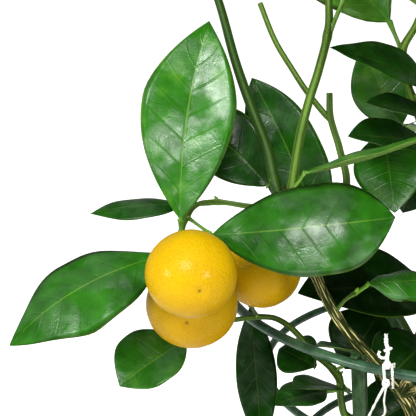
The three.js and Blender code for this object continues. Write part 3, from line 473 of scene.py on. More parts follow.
def front_way(way):
    """A direction of the front spray."""
    u, v, w = way
    return (Vector((u, 0, 0)) + V_AXIS * v + W_AXIS * w).normalized()


def draws(seed):
    """A plain sequence of numbers from 0 to 1 that is the same each time."""
    state = seed
    while True:
        state = state * 16807 % 2147483647
        yield state / 2147483647


# ---- leaves ------------------------------------------------------------------------

BASE_FULL, TIP_FULL = 2.2, 1.9  # how full a blade is towards its base and towards its tip
BLUNT, POINTED = 3, 1.45  # the same towards a blunt and a pointed tip
HOOK_FROM = 0.6  # where a tip starts to hook over, as a share of the blade
BLADE_THICK = 0.5
STALK_R, STALK_SAG = 0.85, 2.4
SIDE_SHIFT = 1.3  # how far the waves of one side lag behind the other's
QUILTING = 0.006  # how high the skin stands between side veins, as a share of the length
EDGE_FINER = 1.2  # crowds the rows towards the midrib


class Leaf:
    """A leaf by its places: root on the stem, base of the blade, tip, and its shape."""

    def __init__(self, root, base, tip, face, width, widest, arch, hook, bend, fold, twist, tone=0.5,
                 tip_full=TIP_FULL):
        self.root, self.base, self.tip = root, base, tip
        self.width, self.widest, self.arch, self.hook, self.bend = width, widest, arch, hook, bend
        self.fold, self.twist = math.radians(fold), math.radians(twist)
        self.tone, self.tip_full = tone, tip_full
        self.chord = tip - base
        self.length = self.chord.length
        along = self.chord / self.length
        self.face = (face - along * face.dot(along)).normalized()
        self.side = along.cross(self.face)

    def half_width(self, t):
        """Half the blade's width at t, from 0 at its base to 1 at its tip."""
        if not 0 < t < 1:
            return 0.0
        near_base = t < self.widest
        x = t / self.widest if near_base else (1 - t) / (1 - self.widest)
        return self.width / 2 * (1 - (1 - x) ** (BASE_FULL if near_base else self.tip_full))

    def centre(self, t):
        """The midrib at t."""
        bow = 4 * t * (1 - t)
        rise = self.arch * bow - self.hook * max(0, (t - HOOK_FROM) / (1 - HOOK_FROM)) ** 2
        off = self.face * rise + self.side * (self.bend * bow)
        return self.base + self.chord * t + off * self.length

    def axes(self, t):
        """The directions across the blade and out of its upper side at t."""
        turn = self.twist * (t - 0.5)
        return (self.side * math.cos(turn) + self.face * math.sin(turn),
                self.face * math.cos(turn) - self.side * math.sin(turn))


def grow_leaf(bm, leaf, rows, columns, seed, wavy=1.0):
    """Adds a leaf's stalk and blade as one skin, upper side first."""
    rng = random.Random(seed)
    waves, shift = rng.uniform(2.2, 3.6), rng.uniform(0, 6.3)
    wave = rng.uniform(0.012, 0.022) * wavy * leaf.length
    stalk_rows = max(3, rows // 6)
    stops = [-1 + k / stalk_rows for k in range(stalk_rows)]
    stops += [0.5 - 0.5 * math.cos(math.pi * (k / rows) ** 0.9) for k in range(rows + 1)]
    stops.insert(0, stops[0])
    half_columns = columns // 2

    def across(column):
        a = 1 - 2 * column / half_columns if column <= half_columns else 2 * column / half_columns - 3
        return math.copysign(abs(a) ** EDGE_FINER, a)

    def place(row, column):
        t, a = stops[row], across(column)
        upper = column <= half_columns
        s, n = leaf.axes(max(t, 0))
        round_off = math.sqrt(max(0, 1 - a * a)) * (1 if upper else -1)
        if t <= 0:
            swell = 1 + 0.5 * (2 * abs(t + 0.5)) ** 4
            centre = leaf.root.lerp(leaf.base, 1 + t) - n * (STALK_SAG * -t * (1 + t))
            r = 0 if row == 0 else STALK_R * swell
            return centre + s * (r * 1.15 * a) + n * (r * round_off), 0
        half = leaf.half_width(t)
        near = max(0, 1 - t / 0.07)
        wide = max(half, STALK_R * near)
        flat = wide * math.cos(leaf.fold * (1 - near))
        lift = wide * abs(a) ** 1.25 * math.sin(leaf.fold) * (1 - near)
        late = SIDE_SHIFT if a > 0 else 0
        rise = wave * math.sin(waves * FULL_TURN * t + shift + late) * a * a * (1 - near)
        vein = (t - VEIN_SWEEP * abs(a)) * VEIN_PAIRS
        body = min(1, abs(a) * 5) * (1 - a * a) * math.sin(math.pi * min(1, t * 4) / 2)
        rise += QUILTING * leaf.length * math.sin(math.pi * vein) ** 2 * body
        thick = BLADE_THICK / 2 * (1 - a ** 8) * (1 - t ** 16)
        midrib = math.exp(-(a * max(half, 1) / 0.8) ** 2) * (1 - t)
        skin_off = thick - 0.3 * midrib * min(1, t * 8) if upper else -thick - 0.6 * midrib
        skin_off = skin_off * (1 - near) + STALK_R * round_off * near
        return leaf.centre(t) + s * (flat * a) + n * (lift + rise + skin_off), 0

    def surface(row, column):
        return 0.5 + 0.5 * across(column), stops[row] if stops[row] > 0 else stops[row] * 0.15

    skin(bm, len(stops), columns, place, surface, lambda column: 1 if column < half_columns else 2,
         leaf.tone)


def grow_stem(bm, points, radii, stretches, columns, nodes=(), tone=0.5, ridges=4):
    """Adds a green stem with fine ridges, a swelling at each leaf and a blunt end."""
    path, thick = smooth_path(points, stretches), spread(radii, stretches)

    def outline(i, angle):
        swell = sum(math.exp(-((path[i] - at).length / 2.2) ** 2) for at in nodes)
        ridge = 0.5 + 0.5 * math.cos(ridges * angle + 0.02 * i)
        grain = noise.noise(Vector((math.cos(angle) * 2, math.sin(angle) * 2, i * 0.12)))
        out = thick[i] * (0.95 + 0.09 * ridge + 0.05 * grain) + 0.35 * min(swell, 1)
        return out, 1 - ridge + 0.5 * grain

    tube(bm, path, columns, outline, tone=tone)


def grow_bud(bm, at, way, size):
    """Adds a pointed bud."""
    path = [at, at + way * size * 0.5, at + way * size]
    tube(bm, path, 6, lambda i, angle: ((0.3, 0.34, 0.12)[i] * size, 0.2), tone=0.8)


# the shapes that recur below, from where a leaf is widest to its twist
ARCHED, FLAT = (0.5, 0.06, 0.04, 0, 14, 0), (0.5, 0.03, 0.02, 0, 8, 0)
# Each shoot's stem, and its leaves as [root, base, tip, face, width, widest, arch, hook,
# bend, fold, twist] and how light they are, all places in u, v and w. How light a stem or
# leaf is holds its own colour, painted shade deep in the spray and, on a few leaves, a painted pale sheen.
FRONT_SHOOTS = {
    "fruiting": {
        "tone": 0.45,
        "path": [[34.6, -6, -0.5], [26, -0.5, -7], [16, 0.8, -13], [4, 2.4, -14], [-5, 1, -12],
                 [-10.5, -8, -7], [-12, -19, -1]],
        "radii": [1.6, 1.3, 1.2, 1.1, 1.1, 1.2, 1.2],
        "leaves": [
            [[-10.9, -11, -5], [-11.3, -5, 2], [0.6, 76.8, -8], [0.12, 0.25, 1], 40, 0.56, 0.05, 0, -0.045,
             14, 0, 0.62, 1.6],
            [[4, 2.4, -14], [-8, 2, -20], [-48.3, -1.6, -16], [0, 1, 0.5], 20, 0.5, 0.02, 0.02, 0, -8, 14,
             0.4],
            [[-12, -17, -2], [-18, -19.5, 2], [-81.5, -56.1, 12], [-0.3, 0.6, 0.75], 41.5, 0.55, 0.05,
             0.01, 0.06, -12, 0, 0.55, POINTED],
            [[-8, -4, -9.6], [1.6, -11, 7], [76.8, -3.4, 16], [0.05, 0.36, 1], 40, 0.58, 0.05, 0.02, 0.03,
             -12, 0, 0.52, BLUNT],
        ],
    },
    "tall": {
        "tone": 0.08,
        "path": [[28.8, 5.5, 0], [27.2, 11, -2.5], [24.4, 23.8, -5], [17.6, 41.8, -8], [11.2, 60.3, -11],
                 [4.2, 85.3, -15], [-6, 112, -20], [-10, 140, -26]],
        "radii": [2.2, 2.3, 2.2, 2.1, 1.9, 1.7, 1.5, 1.1],
        "leaves": [
            [[27.2, 11, -3], [24.6, 9, -9], [-10, 38, -26], [-0.3, 0.3, 1], 31, 0.5, 0.05, 0, 0.045, 24,
             -20, 0.32],
            [[-2, 100, -18], [-9, 104, -16], [-62, 128, 6], [-0.3, 0.8, 0.5], 31, 0.5, 0.06, 0.04, 0, 14,
             10, 0.5],
            [[-5, 110, -19], [3, 113, -18], [50, 134, -2], [0.3, 0.8, 0.5], 31, *ARCHED, 0.5],
            [[-8, 122, -22], [-8, 127, -17], [-24, 152, 38], [0, 0.8, 0.6], 30, *ARCHED, 0.6],
            [[-9, 130, -24], [-12, 134, -30], [-38, 160, -74], [0, 0.9, -0.2], 32, *ARCHED, 0.6],
            [[-10, 138, -26], [-8, 144, -26], [8, 205, -20], [-0.9, 0.2, 0.5], 31, *ARCHED, 0.7],
        ],
    },
    "bright": {
        "tone": 0.42,
        "path": [[33.6, 0, 0], [34.6, 9.1, 0], [37.6, 28.7, 2], [41.4, 44, 3], [45.2, 55.9, 2],
                 [49.4, 73.4, 0], [49.6, 86, -2], [51, 112, -8], [57, 138, -14]],
        "radii": [1.9, 1.9, 1.85, 1.8, 1.75, 1.7, 1.5, 1.3, 1],
        "leaves": [
            [[34.4, 8, 0], [39.5, 14.5, 7], [95, 31, 6], [-0.1, 1, 0.1], 24, 0.45, -0.03, 0, 0, 12, 0, 0.7],
            [[49.2, 70.5, 0], [56.5, 88, 4], [62, 150, 30], [-0.3, 0.2, 1], 30, *ARCHED, 0.7],
            [[54, 124, -11], [49, 130, -19], [20, 146, -68], [0, 1, -0.2], 30, *ARCHED, 0.5],
            [[53, 122, -10], [58, 128, -14], [98, 148, -44], [0.2, 1, 0.1], 31, *ARCHED, 0.6],
            [[55, 130, -12], [50, 135, -8], [28, 162, 36], [0, 0.8, 0.6], 30, *ARCHED, 0.7],
            [[57, 136, -14], [60, 142, -15], [78, 200, -18], [-0.8, 0.1, 0.6], 31, *ARCHED, 0.7],
        ],
    },
    "pruned": {
        "tone": 0.3,
        "path": [[39.5, -15, -1], [50, -6, -14], [56.7, 9.1, -18], [53.9, 24.4, -18], [50.2, 37.4, -17],
                 [49.8, 47.2, -16]],
        "radii": [1.6, 1.6, 1.6, 1.55, 1.5, 1.4],
        "side": {
            "tone": 0.5,
            "path": [[50.4, 36, -17], [48, 38.4, -18], [40.9, 47.2, -19], [34.4, 57, -20], [27.3, 69, -21],
                     [21.3, 84, -22]],
            "radii": [1.3, 1.3, 1.25, 1.2, 1.15, 1.1],
        },
        "leaves": [
            [[50, -6, -14], [47, -11, -24], [18, 53.4, -22], [-0.2, 0.1, 1], 29, 0.45, 0.03, 0, 0.02, 10,
             0, 0.42, BLUNT],
        ],
    },
    "right": {
        "tone": 0.6,
        "path": [[106, -5, -38], [96, 10, -37], [88, 34, -34], [82, 50, -28], [79.5, 63.5, -25],
                 [85.3, 75, -26], [95, 98, -30], [103, 124, -38]],
        "radii": [2, 1.9, 1.8, 1.8, 1.7, 1.5, 1.4, 1],
        "leaves": [
            [[79.7, 64, -25], [74.6, 76.1, -22], [28, 124, -34], [-0.1, 0.25, 1], 36, 0.45, 0.04, 0.02, 0,
             10, 0, 0.75],
            [[84, 45, -29], [92, 50.4, -22], [49.8, 65.7, 8], [0.1, 0.75, 0.9], 24, 0.4, 0.03, 0, 0, 12, 0,
             0.45, POINTED],
            [[87, 36, -33], [79, 33, -36], [63, 66, -28], [-0.4, 0.2, 1], 26, 0.5, 0.03, 0, 0, 8, 0, 0.7],
            [[86, 40, -31], [95, 36, -20], [64.6, 42.9, -2], [0.2, 0.9, 0.5], 22, 0.5, 0.03, 0, 0, 10, 0,
             0.3],
            [[89, 32, -36], [92, 26, -34], [57.4, 29.4, -14], [-0.1, 0.8, 0.7], 25, 0.55, 0.03, 0, 0, 10,
             0, 0.35],
            [[91.5, 24, -35.5], [72, 31, -40], [76.7, -1.8, -24], [-0.1, 0.3, 1], 31, *FLAT, 0.6],
            [[93.3, 18, -36], [90, 28, -56], [80, -2, -52], [0.2, 0.3, 1], 30, *FLAT, 0.2],
            [[95, 98, -30], [90, 104, -34], [58, 112, -72], [0, 1, 0], 30, *ARCHED, 0.5],
            [[101, 118, -36], [104, 124, -34], [140, 150, 4], [0.2, 0.9, 0.4], 31, *ARCHED, 0.6],
        ],
    },
    "low": {
        "tone": 0.35,
        "path": [[92, -100.8, -52], [73.8, -90.8, -50.5], [66.3, -86.2, -54.4], [57, -85.6, -48.6],
                 [54.5, -78, -44], [53.3, -68.9, -43], [43, -59, -43], [33.8, -49, -43],
                 [25.6, -44.8, -46], [10, -46, -50], [-4, -49, -49]],
        "radii": [2, 1.9, 1.8, 1.7, 1.6, 1.5, 1.4, 1.3, 1.2, 1.1, 0.9],
        "leaves": [
            [[-3, -49, -49], [-9, -54, -44], [-36.3, -72.8, -30], [-0.2, 0.5, 0.8], 32, 0.55, 0.03, 0.02,
             0, 19, 0, 0.62, BLUNT],
            [[20, -44, -46], [17.4, -40, -70], [22, -98, -74], [0.05, 0.1, 1], 19, 0.5, 0.02, 0, 0, 8, 0,
             0.2],
            [[44, -60, -43], [44, -65, -47], [29, -57.5, -56], [0.2, 0.5, 0.8], 24, 0.5, 0.03, 0.02, 0, 10,
             0, 0.35],
            [[54, -74, -43], [48.5, -75, -44], [27.6, -80.6, -26], [0.1, 0.9, 0.5], 19, *FLAT, 0.35],
            [[53.6, -69, -43], [57.5, -75, -47], [35.2, -73.5, -16], [0, 1, 0.35], 24, *FLAT, 0.3],
            [[51, -67, -43], [63, -60, -40], [44, -56.4, -30], [0, 1, 0.1], 20, *FLAT, 0.4],
            [[57, -85.6, -48.6], [50, -91, -46], [26, -112, -40], [0, 0.9, 0.5], 24, *FLAT, 0.5],
        ],
    },
    "shaded": {
        "tone": 0.1,
        "path": [[105, -75.4, -90.5], [98, -70, -82], [91, -62, -73], [84, -54, -66], [78, -44, -60],
                 [70, -38, -56]],
        "radii": [2, 2, 1.9, 1.8, 1.7, 1.4],
        "leaves": [
            [[84, -56, -66], [92, -34, -70], [37.4, -34, -28], [-0.1, 0.6, 0.9], 41, 0.5, 0.03, 0.02, 0,
             14, 0, 0.1],
            [[72, -39, -57], [71, -42, -62], [56, -66, -58], [-0.2, 0.4, 1], 34, *FLAT, 0.15],
            [[90, -64, -73], [90, -54, -60], [69.7, -74, -32], [0.1, 0.5, 1], 35, *FLAT, 0.2],
            [[96, -68, -80], [93, -74, -70], [57, -94, -60], [0.1, 0.3, 1], 32, *FLAT, 0.2],
        ],
    },
    "on_limb": {
        "tone": 0.3,
        "path": [[51.9, -43.2, -8.5], [56, -38, -4], [60.4, -34.9, -2]],
        "radii": [0.9, 0.8, 0.8],
        "leaves": [
            [[60.4, -34.9, -2], [65.6, -31.2, -2], [104, -30, -12], [0.1, 0.8, 0.7], 20, 0.45, 0.03, 0.02,
             0, -20, 0, 0.55],
        ],
    },
}
FRONT_NODES = {name: f"shoot_{name}" for name in FRONT_SHOOTS} | {"on_limb": "leaf_on_limb"}
IN_VIEW = 104  # a leaf whose tip lies this near the middle of the spray is made finest


def front_leaf(row):
    """The leaf of a row of the table."""
    root, base, tip, face, *shape = row
    return Leaf(front(root), front(base), front(tip), front_way(face), *shape)


# ---- fruit -------------------------------------------------------------------------

FRUIT_SQUASH = 0.96
CALYX_R, CALYX_STALK_R = 3.2, 1.1
FRONT_FRUITS = [
    {"node": "fruit_front", "shoot": "fruiting", "way": [-0.2, 0.33, -0.92], "tone": 0.62,
     "stalk": [[-12, -18, -1.5], [-11, -20.6, 3]]},
    {"node": "fruit_below", "shoot": "low", "way": [0.1, 0.35, -0.93], "tone": 0.45,
     "stalk": [[2, -48, -49.6], [-2, -38, -42]]},
    {"node": "fruit_behind", "shoot": "fruiting", "way": [-0.1, 0.97, 0.2], "tone": 0.5,
     "stalk": [[20, 0.3, -10.8], [20, -2.5, -22]]},
]


def fruit_place(node):
    """The middle and the radius of a fruit's solid, in mm."""
    low, high = (Vector(corner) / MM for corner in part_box(node))
    return (low + high) / 2, (high.z - low.z) / 2 / FRUIT_SQUASH


def skin_at(r, way):
    """How far the fruit's skin is from its middle in a direction."""
    return 1 / math.sqrt((way.x ** 2 + way.y ** 2) / r ** 2 + (way.z / (r * FRUIT_SQUASH)) ** 2)


def ripen(node, way, tone, segments):
    """Makes a fruit: not quite round, dimpled at its stalk and with a scar opposite."""
    centre, r = fruit_place(node)
    bm = start_mesh()
    made = bmesh.ops.create_uvsphere(bm, u_segments=segments, v_segments=segments * 2 // 3, radius=1,
                                     calc_uvs=True)["verts"]
    bmesh.ops.rotate(bm, verts=made, matrix=UP.rotation_difference(way).to_matrix(), cent=(0, 0, 0))
    tones, grooves = bm.verts.layers.float[TONE], bm.verts.layers.float[GROOVE]
    for v in made:
        d = v.co.normalized()
        off = math.acos(max(-1, min(1, d.dot(way))))
        dimple = 0.07 * math.exp(-(off / 0.24) ** 2) + 0.035 * math.exp(-((math.pi - off) / 0.14) ** 2)
        lumps = 0.012 * noise.noise(d * 1.7 + centre) + 0.004 * noise.noise(d * 6 + centre)
        # painted light: each fruit's upper side is made lighter and its underside darker, on top of the
        # fruit's own tone
        v[tones] = tone + 0.18 * d.z
        v[grooves] = max(0, 1 - (math.pi - off) / 0.055) + 0.35 * max(0, 1 - off / 0.3)
        v.co = (centre + d * (skin_at(r, d) * (1 + lumps - dimple))) * MM
    dress(bm, node.replace("fruit", "rind"), [RIND], "fruit_peel", node)
    return centre, r


def grow_stalk(bm, path, centre, r, way):
    """Adds a fruit's stalk and the five-lobed cup that holds the fruit."""
    cup = centre + way * (skin_at(r, way) - 0.6)
    points = [*path, cup + way * 4, cup + way * 1.6]
    grow_stem(bm, points, [CALYX_STALK_R] * len(points), stretches=4, columns=8, tone=0.6)
    rim = [(0.2, 0.9), (1.0, 0.0), (0.86, 0.5), (0.45, 1.2), (0.3, 2.2)]  # radius share, height

    def outline(i, angle):
        lobes = 1 + (0.22 * math.cos(5 * angle) if i in (1, 2) else 0)
        return CALYX_R * rim[i][0] * lobes, 0.3

    tube(bm, [cup + way * height for _, height in rim], 20, outline, tone=0.6,
         across=frames([cup, cup + way])[:1] * len(rim))


# ---- the front shoots --------------------------------------------------------------

SHOOT_MATERIALS = [GREEN_BARK, WAXY, UNDER]
FINE_LEAF, PLAIN_LEAF = (40, 28, 0.35), (18, 16, 1)  # rows, columns and how wavy its edge is
BUD, CROWN_BUD = 2.4, 2.0


def make_front_shoot(name, rows):
    """Makes a shoot of the front spray with its stems, leaves, buds and fruit stalks."""
    bm = start_mesh()
    leaves = [front_leaf(row) for row in rows["leaves"]]
    for part in filter(None, (rows, rows.get("side"))):
        path = [front(place) for place in part["path"]]
        grow_stem(bm, path, part["radii"], stretches=10, columns=16, nodes=[leaf.root for leaf in leaves],
                  tone=part["tone"])
    for i, leaf in enumerate(leaves):
        tip = rows["leaves"][i][2]
        steps, columns, wavy = FINE_LEAF if max(abs(tip[0]), abs(tip[1])) < IN_VIEW else PLAIN_LEAF
        grow_leaf(bm, leaf, steps, columns, f"{name} {i}", wavy)
        out = (leaf.base - leaf.root).normalized()
        grow_bud(bm, leaf.root + leaf.face * 0.6, (leaf.face + out * 0.6).normalized(), BUD)
    for fruit in FRONT_FRUITS:
        if fruit["shoot"] == name:
            centre, r = fruit_place(fruit["node"])
            grow_stalk(bm, [front(place) for place in fruit["stalk"]], centre, r, front_way(fruit["way"]))
    dress(bm, f"leafy_{name}", SHOOT_MATERIALS, "leaf", FRONT_NODES[name])


# ---- the rest of the crown ---------------------------------------------------------

TRUNK = [(0, 0, 122), (0, 0, 185), (1, 2, 235), (6, 6, 300), (10, 6, 370), (14, 4, 440)]
TRUNK_RADII = [8.5, 8.5, 8, 6.4, 5.2, 3.6]
LEADER = [Vector(place) for place in TRUNK[2:]]
# way is the compass angle from +X, out and up are how far a limb goes, and curl turns it up
LIMBS = {
    "side": {"way": 252, "from": 236, "out": 74, "up": 210, "curl": 0.75, "r": 4.6},
    "right_front": {"way": 312, "from": 232, "out": 118, "up": 168, "curl": 0.6, "r": 5},
    "right": {"way": 14, "from": 246, "out": 122, "up": 178, "curl": 0.6, "r": 5},
    "back": {"way": 78, "from": 238, "out": 112, "up": 176, "curl": 0.6, "r": 5},
    "back_left": {"way": 128, "from": 252, "out": 42, "up": 230, "curl": 0.5, "r": 4.4},
}
# each shoot: how far along its limb, compass angle, rise, length, leaves, fruit along it
CROWN = {
    "side": [(0.85, 268, 30, 96, 8, 0.5), (1, 215, 66, 110, 8)],
    "right_front": [(0.4, 285, -4, 92, 7, 0.45), (0.62, 340, 12, 92, 7, 0.5), (0.85, 290, 30, 100, 8, 0.6),
                    (1, 325, 55, 110, 8)],
    "right": [(0.4, 348, -6, 92, 7), (0.62, 40, 12, 92, 7, 0.5), (0.85, 340, 34, 96, 8, 0.4),
              (1, 20, 58, 110, 8, 0.3)],
    "back": [(0.42, 55, 6, 92, 7, 0.5), (0.62, 92, 14, 92, 7, 0.5), (0.85, 50, 34, 96, 8, 0.5),
             (1, 85, 60, 110, 8)],
    "back_left": [(0.97, 165, 35, 92, 8), (1, 128, 60, 108, 8, 0.3)],
    "leader": [(0.55, 300, 40, 96, 8, 0.5), (0.85, 230, 60, 110, 8, 0.4), (0.9, 40, 48, 112, 8),
               (1, 120, 80, 140, 8)],
}
LEAF_TURNS = [(0, 0, 1), (28, 6, 1), (-28, 6, 1), (50, -14, 0.95), (-50, -14, 0.95), (10, 34, 0.9),
              (-75, 12, 0.85), (75, 12, 0.85), (0, -34, 0.8), (110, 0, 0.75), (-110, 0, 0.75),
              (180, 20, 0.75)]
SAME_PLACE = 0.2  # mm
LEAF_FROM, LEAF_TO = 0.16, 0.98  # the first and last leaf's place along a shoot
LEAF_SPIRAL = 137.5  # how far round the stem each leaf is from the last, in degrees
SHOOT_DROOP, FIRST_SEED, SEED_STEP = 0.22, 11, 7


def limb_at(name, f):
    """The place at a share of a limb's or the leader's length."""
    if name == "leader":
        t = f * (len(LEADER) - 1)
        k = min(int(t), len(LEADER) - 2)
        return LEADER[k].lerp(LEADER[k + 1], t - k)
    limb = LIMBS[name]
    out, a = limb["out"] * f ** limb["curl"], math.radians(limb["way"])
    return Vector((out * math.cos(a), out * math.sin(a), limb["from"] + limb["up"] * f ** 1.25))


def heading(way, rise):
    """The direction with this compass angle and this rise above level."""
    a, b = math.radians(way), math.radians(rise)
    return Vector((math.cos(a) * math.cos(b), math.sin(a) * math.cos(b), math.sin(b)))


def shoot_point(shoot, t):
    """The place at a share of a crown shoot's length."""
    return (limb_at(shoot["limb"], shoot["f"]) + heading(shoot["way"], shoot["rise"]) * (shoot["length"] * t)
            + UP * (SHOOT_DROOP * shoot["length"] * t * t))


def crown_leaf(shoot, k, turn):
    """Leaf k of a shoot, turned in one of the ways that may keep it clear of others."""
    draw = draws(shoot["seed"] * 100 + k + 1)
    next(draw)
    last = shoot["leaves"] - 1
    t = LEAF_FROM + (LEAF_TO - LEAF_FROM) * k / last
    at = shoot_point(shoot, t)
    along = (shoot_point(shoot, t + 0.02) - shoot_point(shoot, t - 0.02)).normalized()
    side = along.cross(UP).normalized()
    top = side.cross(along)
    a = math.radians(shoot["seed"] * 40 + LEAF_SPIRAL * k + turn[0])
    out = side * math.cos(a) + top * math.sin(a)
    open_by = math.radians(8 if k == last else 62 - 22 * t + 10 * (next(draw) - 0.5) - turn[1] * 0.5)
    way = along * math.cos(open_by) + out * math.sin(open_by)
    way.z += 0.006 * turn[1] - 0.1
    way.normalize()
    length = turn[2] * (62 + 22 * next(draw)) * (0.85 if k == last else 1)
    base = at + way * (9 + 3 * next(draw))
    face = UP * 1.1 + along * 0.5 + out * (0.15 + 0.3 * (next(draw) - 0.5))
    tone = random.Random(f"{shoot['seed']} {k}").uniform(0.3, 0.75)
    return Leaf(at, base, base + way * length, face.normalized(), length * (0.42 + 0.08 * next(draw)),
                0.48 + 0.08 * next(draw), 0.05 + 0.04 * next(draw), 0.04, 0.05 * (next(draw) - 0.5),
                8 + 14 * next(draw), 30 * (next(draw) - 0.5), tone)


def corners_of(node):
    """A quick way to find the corner of a node's solid that lies nearest a place."""
    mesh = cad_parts[node].data
    tree = KDTree(len(mesh.vertices))
    for i, v in enumerate(mesh.vertices):
        tree.insert(v.co / MM, i)
    tree.balance()
    return tree


def make_crown_shoot(shoot):
    """Makes a shoot of the rest of the crown, each leaf turned as the node's own leaf is."""
    node = f"shoot_{shoot['limb']}_{shoot['number']}"
    corners = corners_of(node)
    bm = start_mesh()
    leaves = []
    for k in range(shoot["leaves"]):
        for turn in LEAF_TURNS:
            leaf = crown_leaf(shoot, k, turn)
            if corners.find(leaf.centre(1))[2] < SAME_PLACE:
                leaves.append(leaf)
                break
    grow_stem(bm, [shoot_point(shoot, i / 4) for i in range(5)], [2, 1.83, 1.66, 1.49, 1.32],
              stretches=5, columns=8, nodes=[leaf.root for leaf in leaves])
    for i, leaf in enumerate(leaves):
        grow_leaf(bm, leaf, rows=9, columns=10, seed=f"{node} {i}")
        grow_bud(bm, leaf.root + leaf.face * 0.6, leaf.face, CROWN_BUD)
    if shoot["fruit"]:
        hang_fruit(bm, shoot, node.replace("shoot", "fruit"))
    dress(bm, f"leafy_{shoot['limb']}_{shoot['number']}", SHOOT_MATERIALS, "leaf", node)


def hang_fruit(bm, shoot, node):
    """Makes the fruit that hangs from a shoot, where it has the room for one."""
    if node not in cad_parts:
        return
    tone = random.Random(node).uniform(0.3, 0.7)
    centre, r = ripen(node, UP, tone, segments=36)
    start, bow = shoot_point(shoot, shoot["fruit"]), centre + UP * (r + 5)
    grow_stalk(bm, [start, start.lerp(bow, 0.6) + UP * 1.5, bow], centre, r, UP)


# ---- the wood ----------------------------------------------------------------------

FRONT_LIMB = [Vector((0, 0, 226)), Vector((-12, -36, 252)), Vector((-32, -78, 290))] + [front(p) for p in (
    (84.4, -84.4, -30), (81.1, -77.9, -27), (71.3, -67, -22), (60.4, -54.9, -16.5), (51.7, -43, -9),
    (44.1, -27.3, -3), (36.5, -10, 0), (28.6, 6.6, 0))]
FRONT_LIMB_RADII = [6, 5, 4, 3.3, 3.1, 2.8, 2.5, 2.3, 2.1, 2.1, 2.2]
LIMB_STOPS, LIMB_TAPER, TORN_ENDS = (0, 0.12, 0.35, 0.65, 1), 0.45, 9
STUBS = [((79, -75, -25), (82, -70.5, -18), 2.1), ((79.5, -76.5, -25), (85.5, -74.5, -21), 1.9)]


def barked(bm, points, radii, stretches, columns, ridge, depth, material):
    """Adds a limb whose bark stands in long broken ridges, so wide and so deep, in mm."""
    path, thick = smooth_path(points, stretches), spread(radii, stretches)
    far = lengths(path)

    def outline(i, angle):
        r = thick[i]
        spot = Vector((math.cos(angle) * r / ridge, math.sin(angle) * r / ridge, far[i] / (ridge * 6)))
        long = noise.noise(spot)
        cross = noise.noise(Vector((spot.x * 0.7, spot.y * 0.7, far[i] / (ridge * 1.4))))
        high = max(-1, min(1, 2.6 * long + 0.8 * cross))
        bulge = 0.06 * r * noise.noise(Vector((math.cos(angle), math.sin(angle), far[i] / 14)))
        return r + bulge + depth * high, 0.5 - 0.5 * high

    tube(bm, path, columns, outline, material)


def make_wood():
    """Makes the trunk, the limbs, the cut stubs and the torn bark, as one grown piece."""
    bm = start_mesh()
    barked(bm, [Vector(p) for p in TRUNK], TRUNK_RADII, stretches=24, columns=48, ridge=2.4, depth=0.55,
           material=1)
    barked(bm, FRONT_LIMB, FRONT_LIMB_RADII, stretches=22, columns=36, ridge=1.25, depth=0.34, material=0)
    for name, limb in LIMBS.items():
        path = [Vector((1, 1, limb["from"] - 6)), *[limb_at(name, f) for f in LIMB_STOPS[1:]]]
        barked(bm, path, [limb["r"] * (1 - LIMB_TAPER * f) for f in LIMB_STOPS], stretches=14, columns=20,
               ridge=2, depth=0.4, material=1)
    for at, to, r in STUBS:
        path = smooth_path([front(at), front(to)], 6)
        tube(bm, path, 16, lambda i, angle: (r * (1 + 0.15 * i / 6) + 0.2 * math.sin(5 * angle + i), 0.4), 0)
        way = (path[-1] - path[0]).normalized()
        face = [path[-1] - way * 0.3, path[-1] + way * 0.15]
        tube(bm, face, 16, lambda i, angle: (r * (0.9 - 0.25 * i), 0.3), 2)
    # torn ends of bark round the place where the green shoots leave the limb
    top, rng = FRONT_LIMB[-1], random.Random("torn bark")
    along = (FRONT_LIMB[-1] - FRONT_LIMB[-2]).normalized()
    side, other = frames([top, top + along])[0]
    for _ in range(TORN_ENDS):
        a = rng.uniform(0, FULL_TURN)
        out = side * math.cos(a) + other * math.sin(a)
        base = top + out * 1.9 - along * rng.uniform(2, 6)
        way = (along + out * rng.uniform(0.15, 0.6)).normalized()
        size = rng.uniform(3, 5.5)
        tube(bm, [base, base + way * size * 0.6, base + way * size + out * 0.5], 6,
             lambda i, angle: ((0.75, 0.5, 0.12)[i], 0.25), 0)
    dress(bm, "ridged_wood", [BARK, TRUNK_BARK, CUT], "bark", "wood")


# ---- the support -------------------------------------------------------------------

RINGS = {"ring_top": (345, 125, 2.2), "ring_middle": (296, 103.2, 1.9), "ring_low": (249, 85, 1.9)}
GAP = 0.3
STAKE_WIDE, STAKE_THICK, STAKE_BOTTOM, STAKE_OVER = 6.8, 2.5, 140, 3.4
EDGE_RIB, FINGER, FINGER_THICK = 1.4, 3, 1.4
STAKE_TOP, STAKE_LEAN = (-68.6, -98.6), (0.1, 0.47)
STAKE_OUT = Vector((*STAKE_TOP, 0)).normalized()


def stake_at(z):
    """The middle of the front stake at a height."""
    down = RINGS["ring_top"][0] - z
    return Vector((STAKE_TOP[0] + STAKE_LEAN[0] * down, STAKE_TOP[1] + STAKE_LEAN[1] * down, z))


def make_ring(node, z, r, rod):
    """Bends a round coated rod into a ring."""
    bm = start_mesh()
    upright = Matrix.Translation((r * MM, 0, z * MM)) @ Matrix.Rotation(math.pi / 2, 4, "X")
    made = bmesh.ops.create_circle(bm, segments=20, radius=rod * MM, matrix=upright)["verts"]
    edges = list({edge for v in made for edge in v.link_edges})
    bmesh.ops.spin(bm, geom=made + edges, cent=(0, 0, 0), axis=(0, 0, 1), angle=FULL_TURN, steps=216,
                   use_merge=True, use_normal_flip=False)
    bmesh.ops.remove_doubles(bm, verts=bm.verts, dist=1e-6)
    for v in bm.verts:
        flat = Vector((v.co.x, v.co.y, 0))
        middle = flat.normalized() * r * MM + UP * z * MM
        v.co += (v.co - middle) * (0.06 * noise.noise(v.co * 90))
    dress(bm, f"coated_{node}", [WIRE], "coated_wire", node)


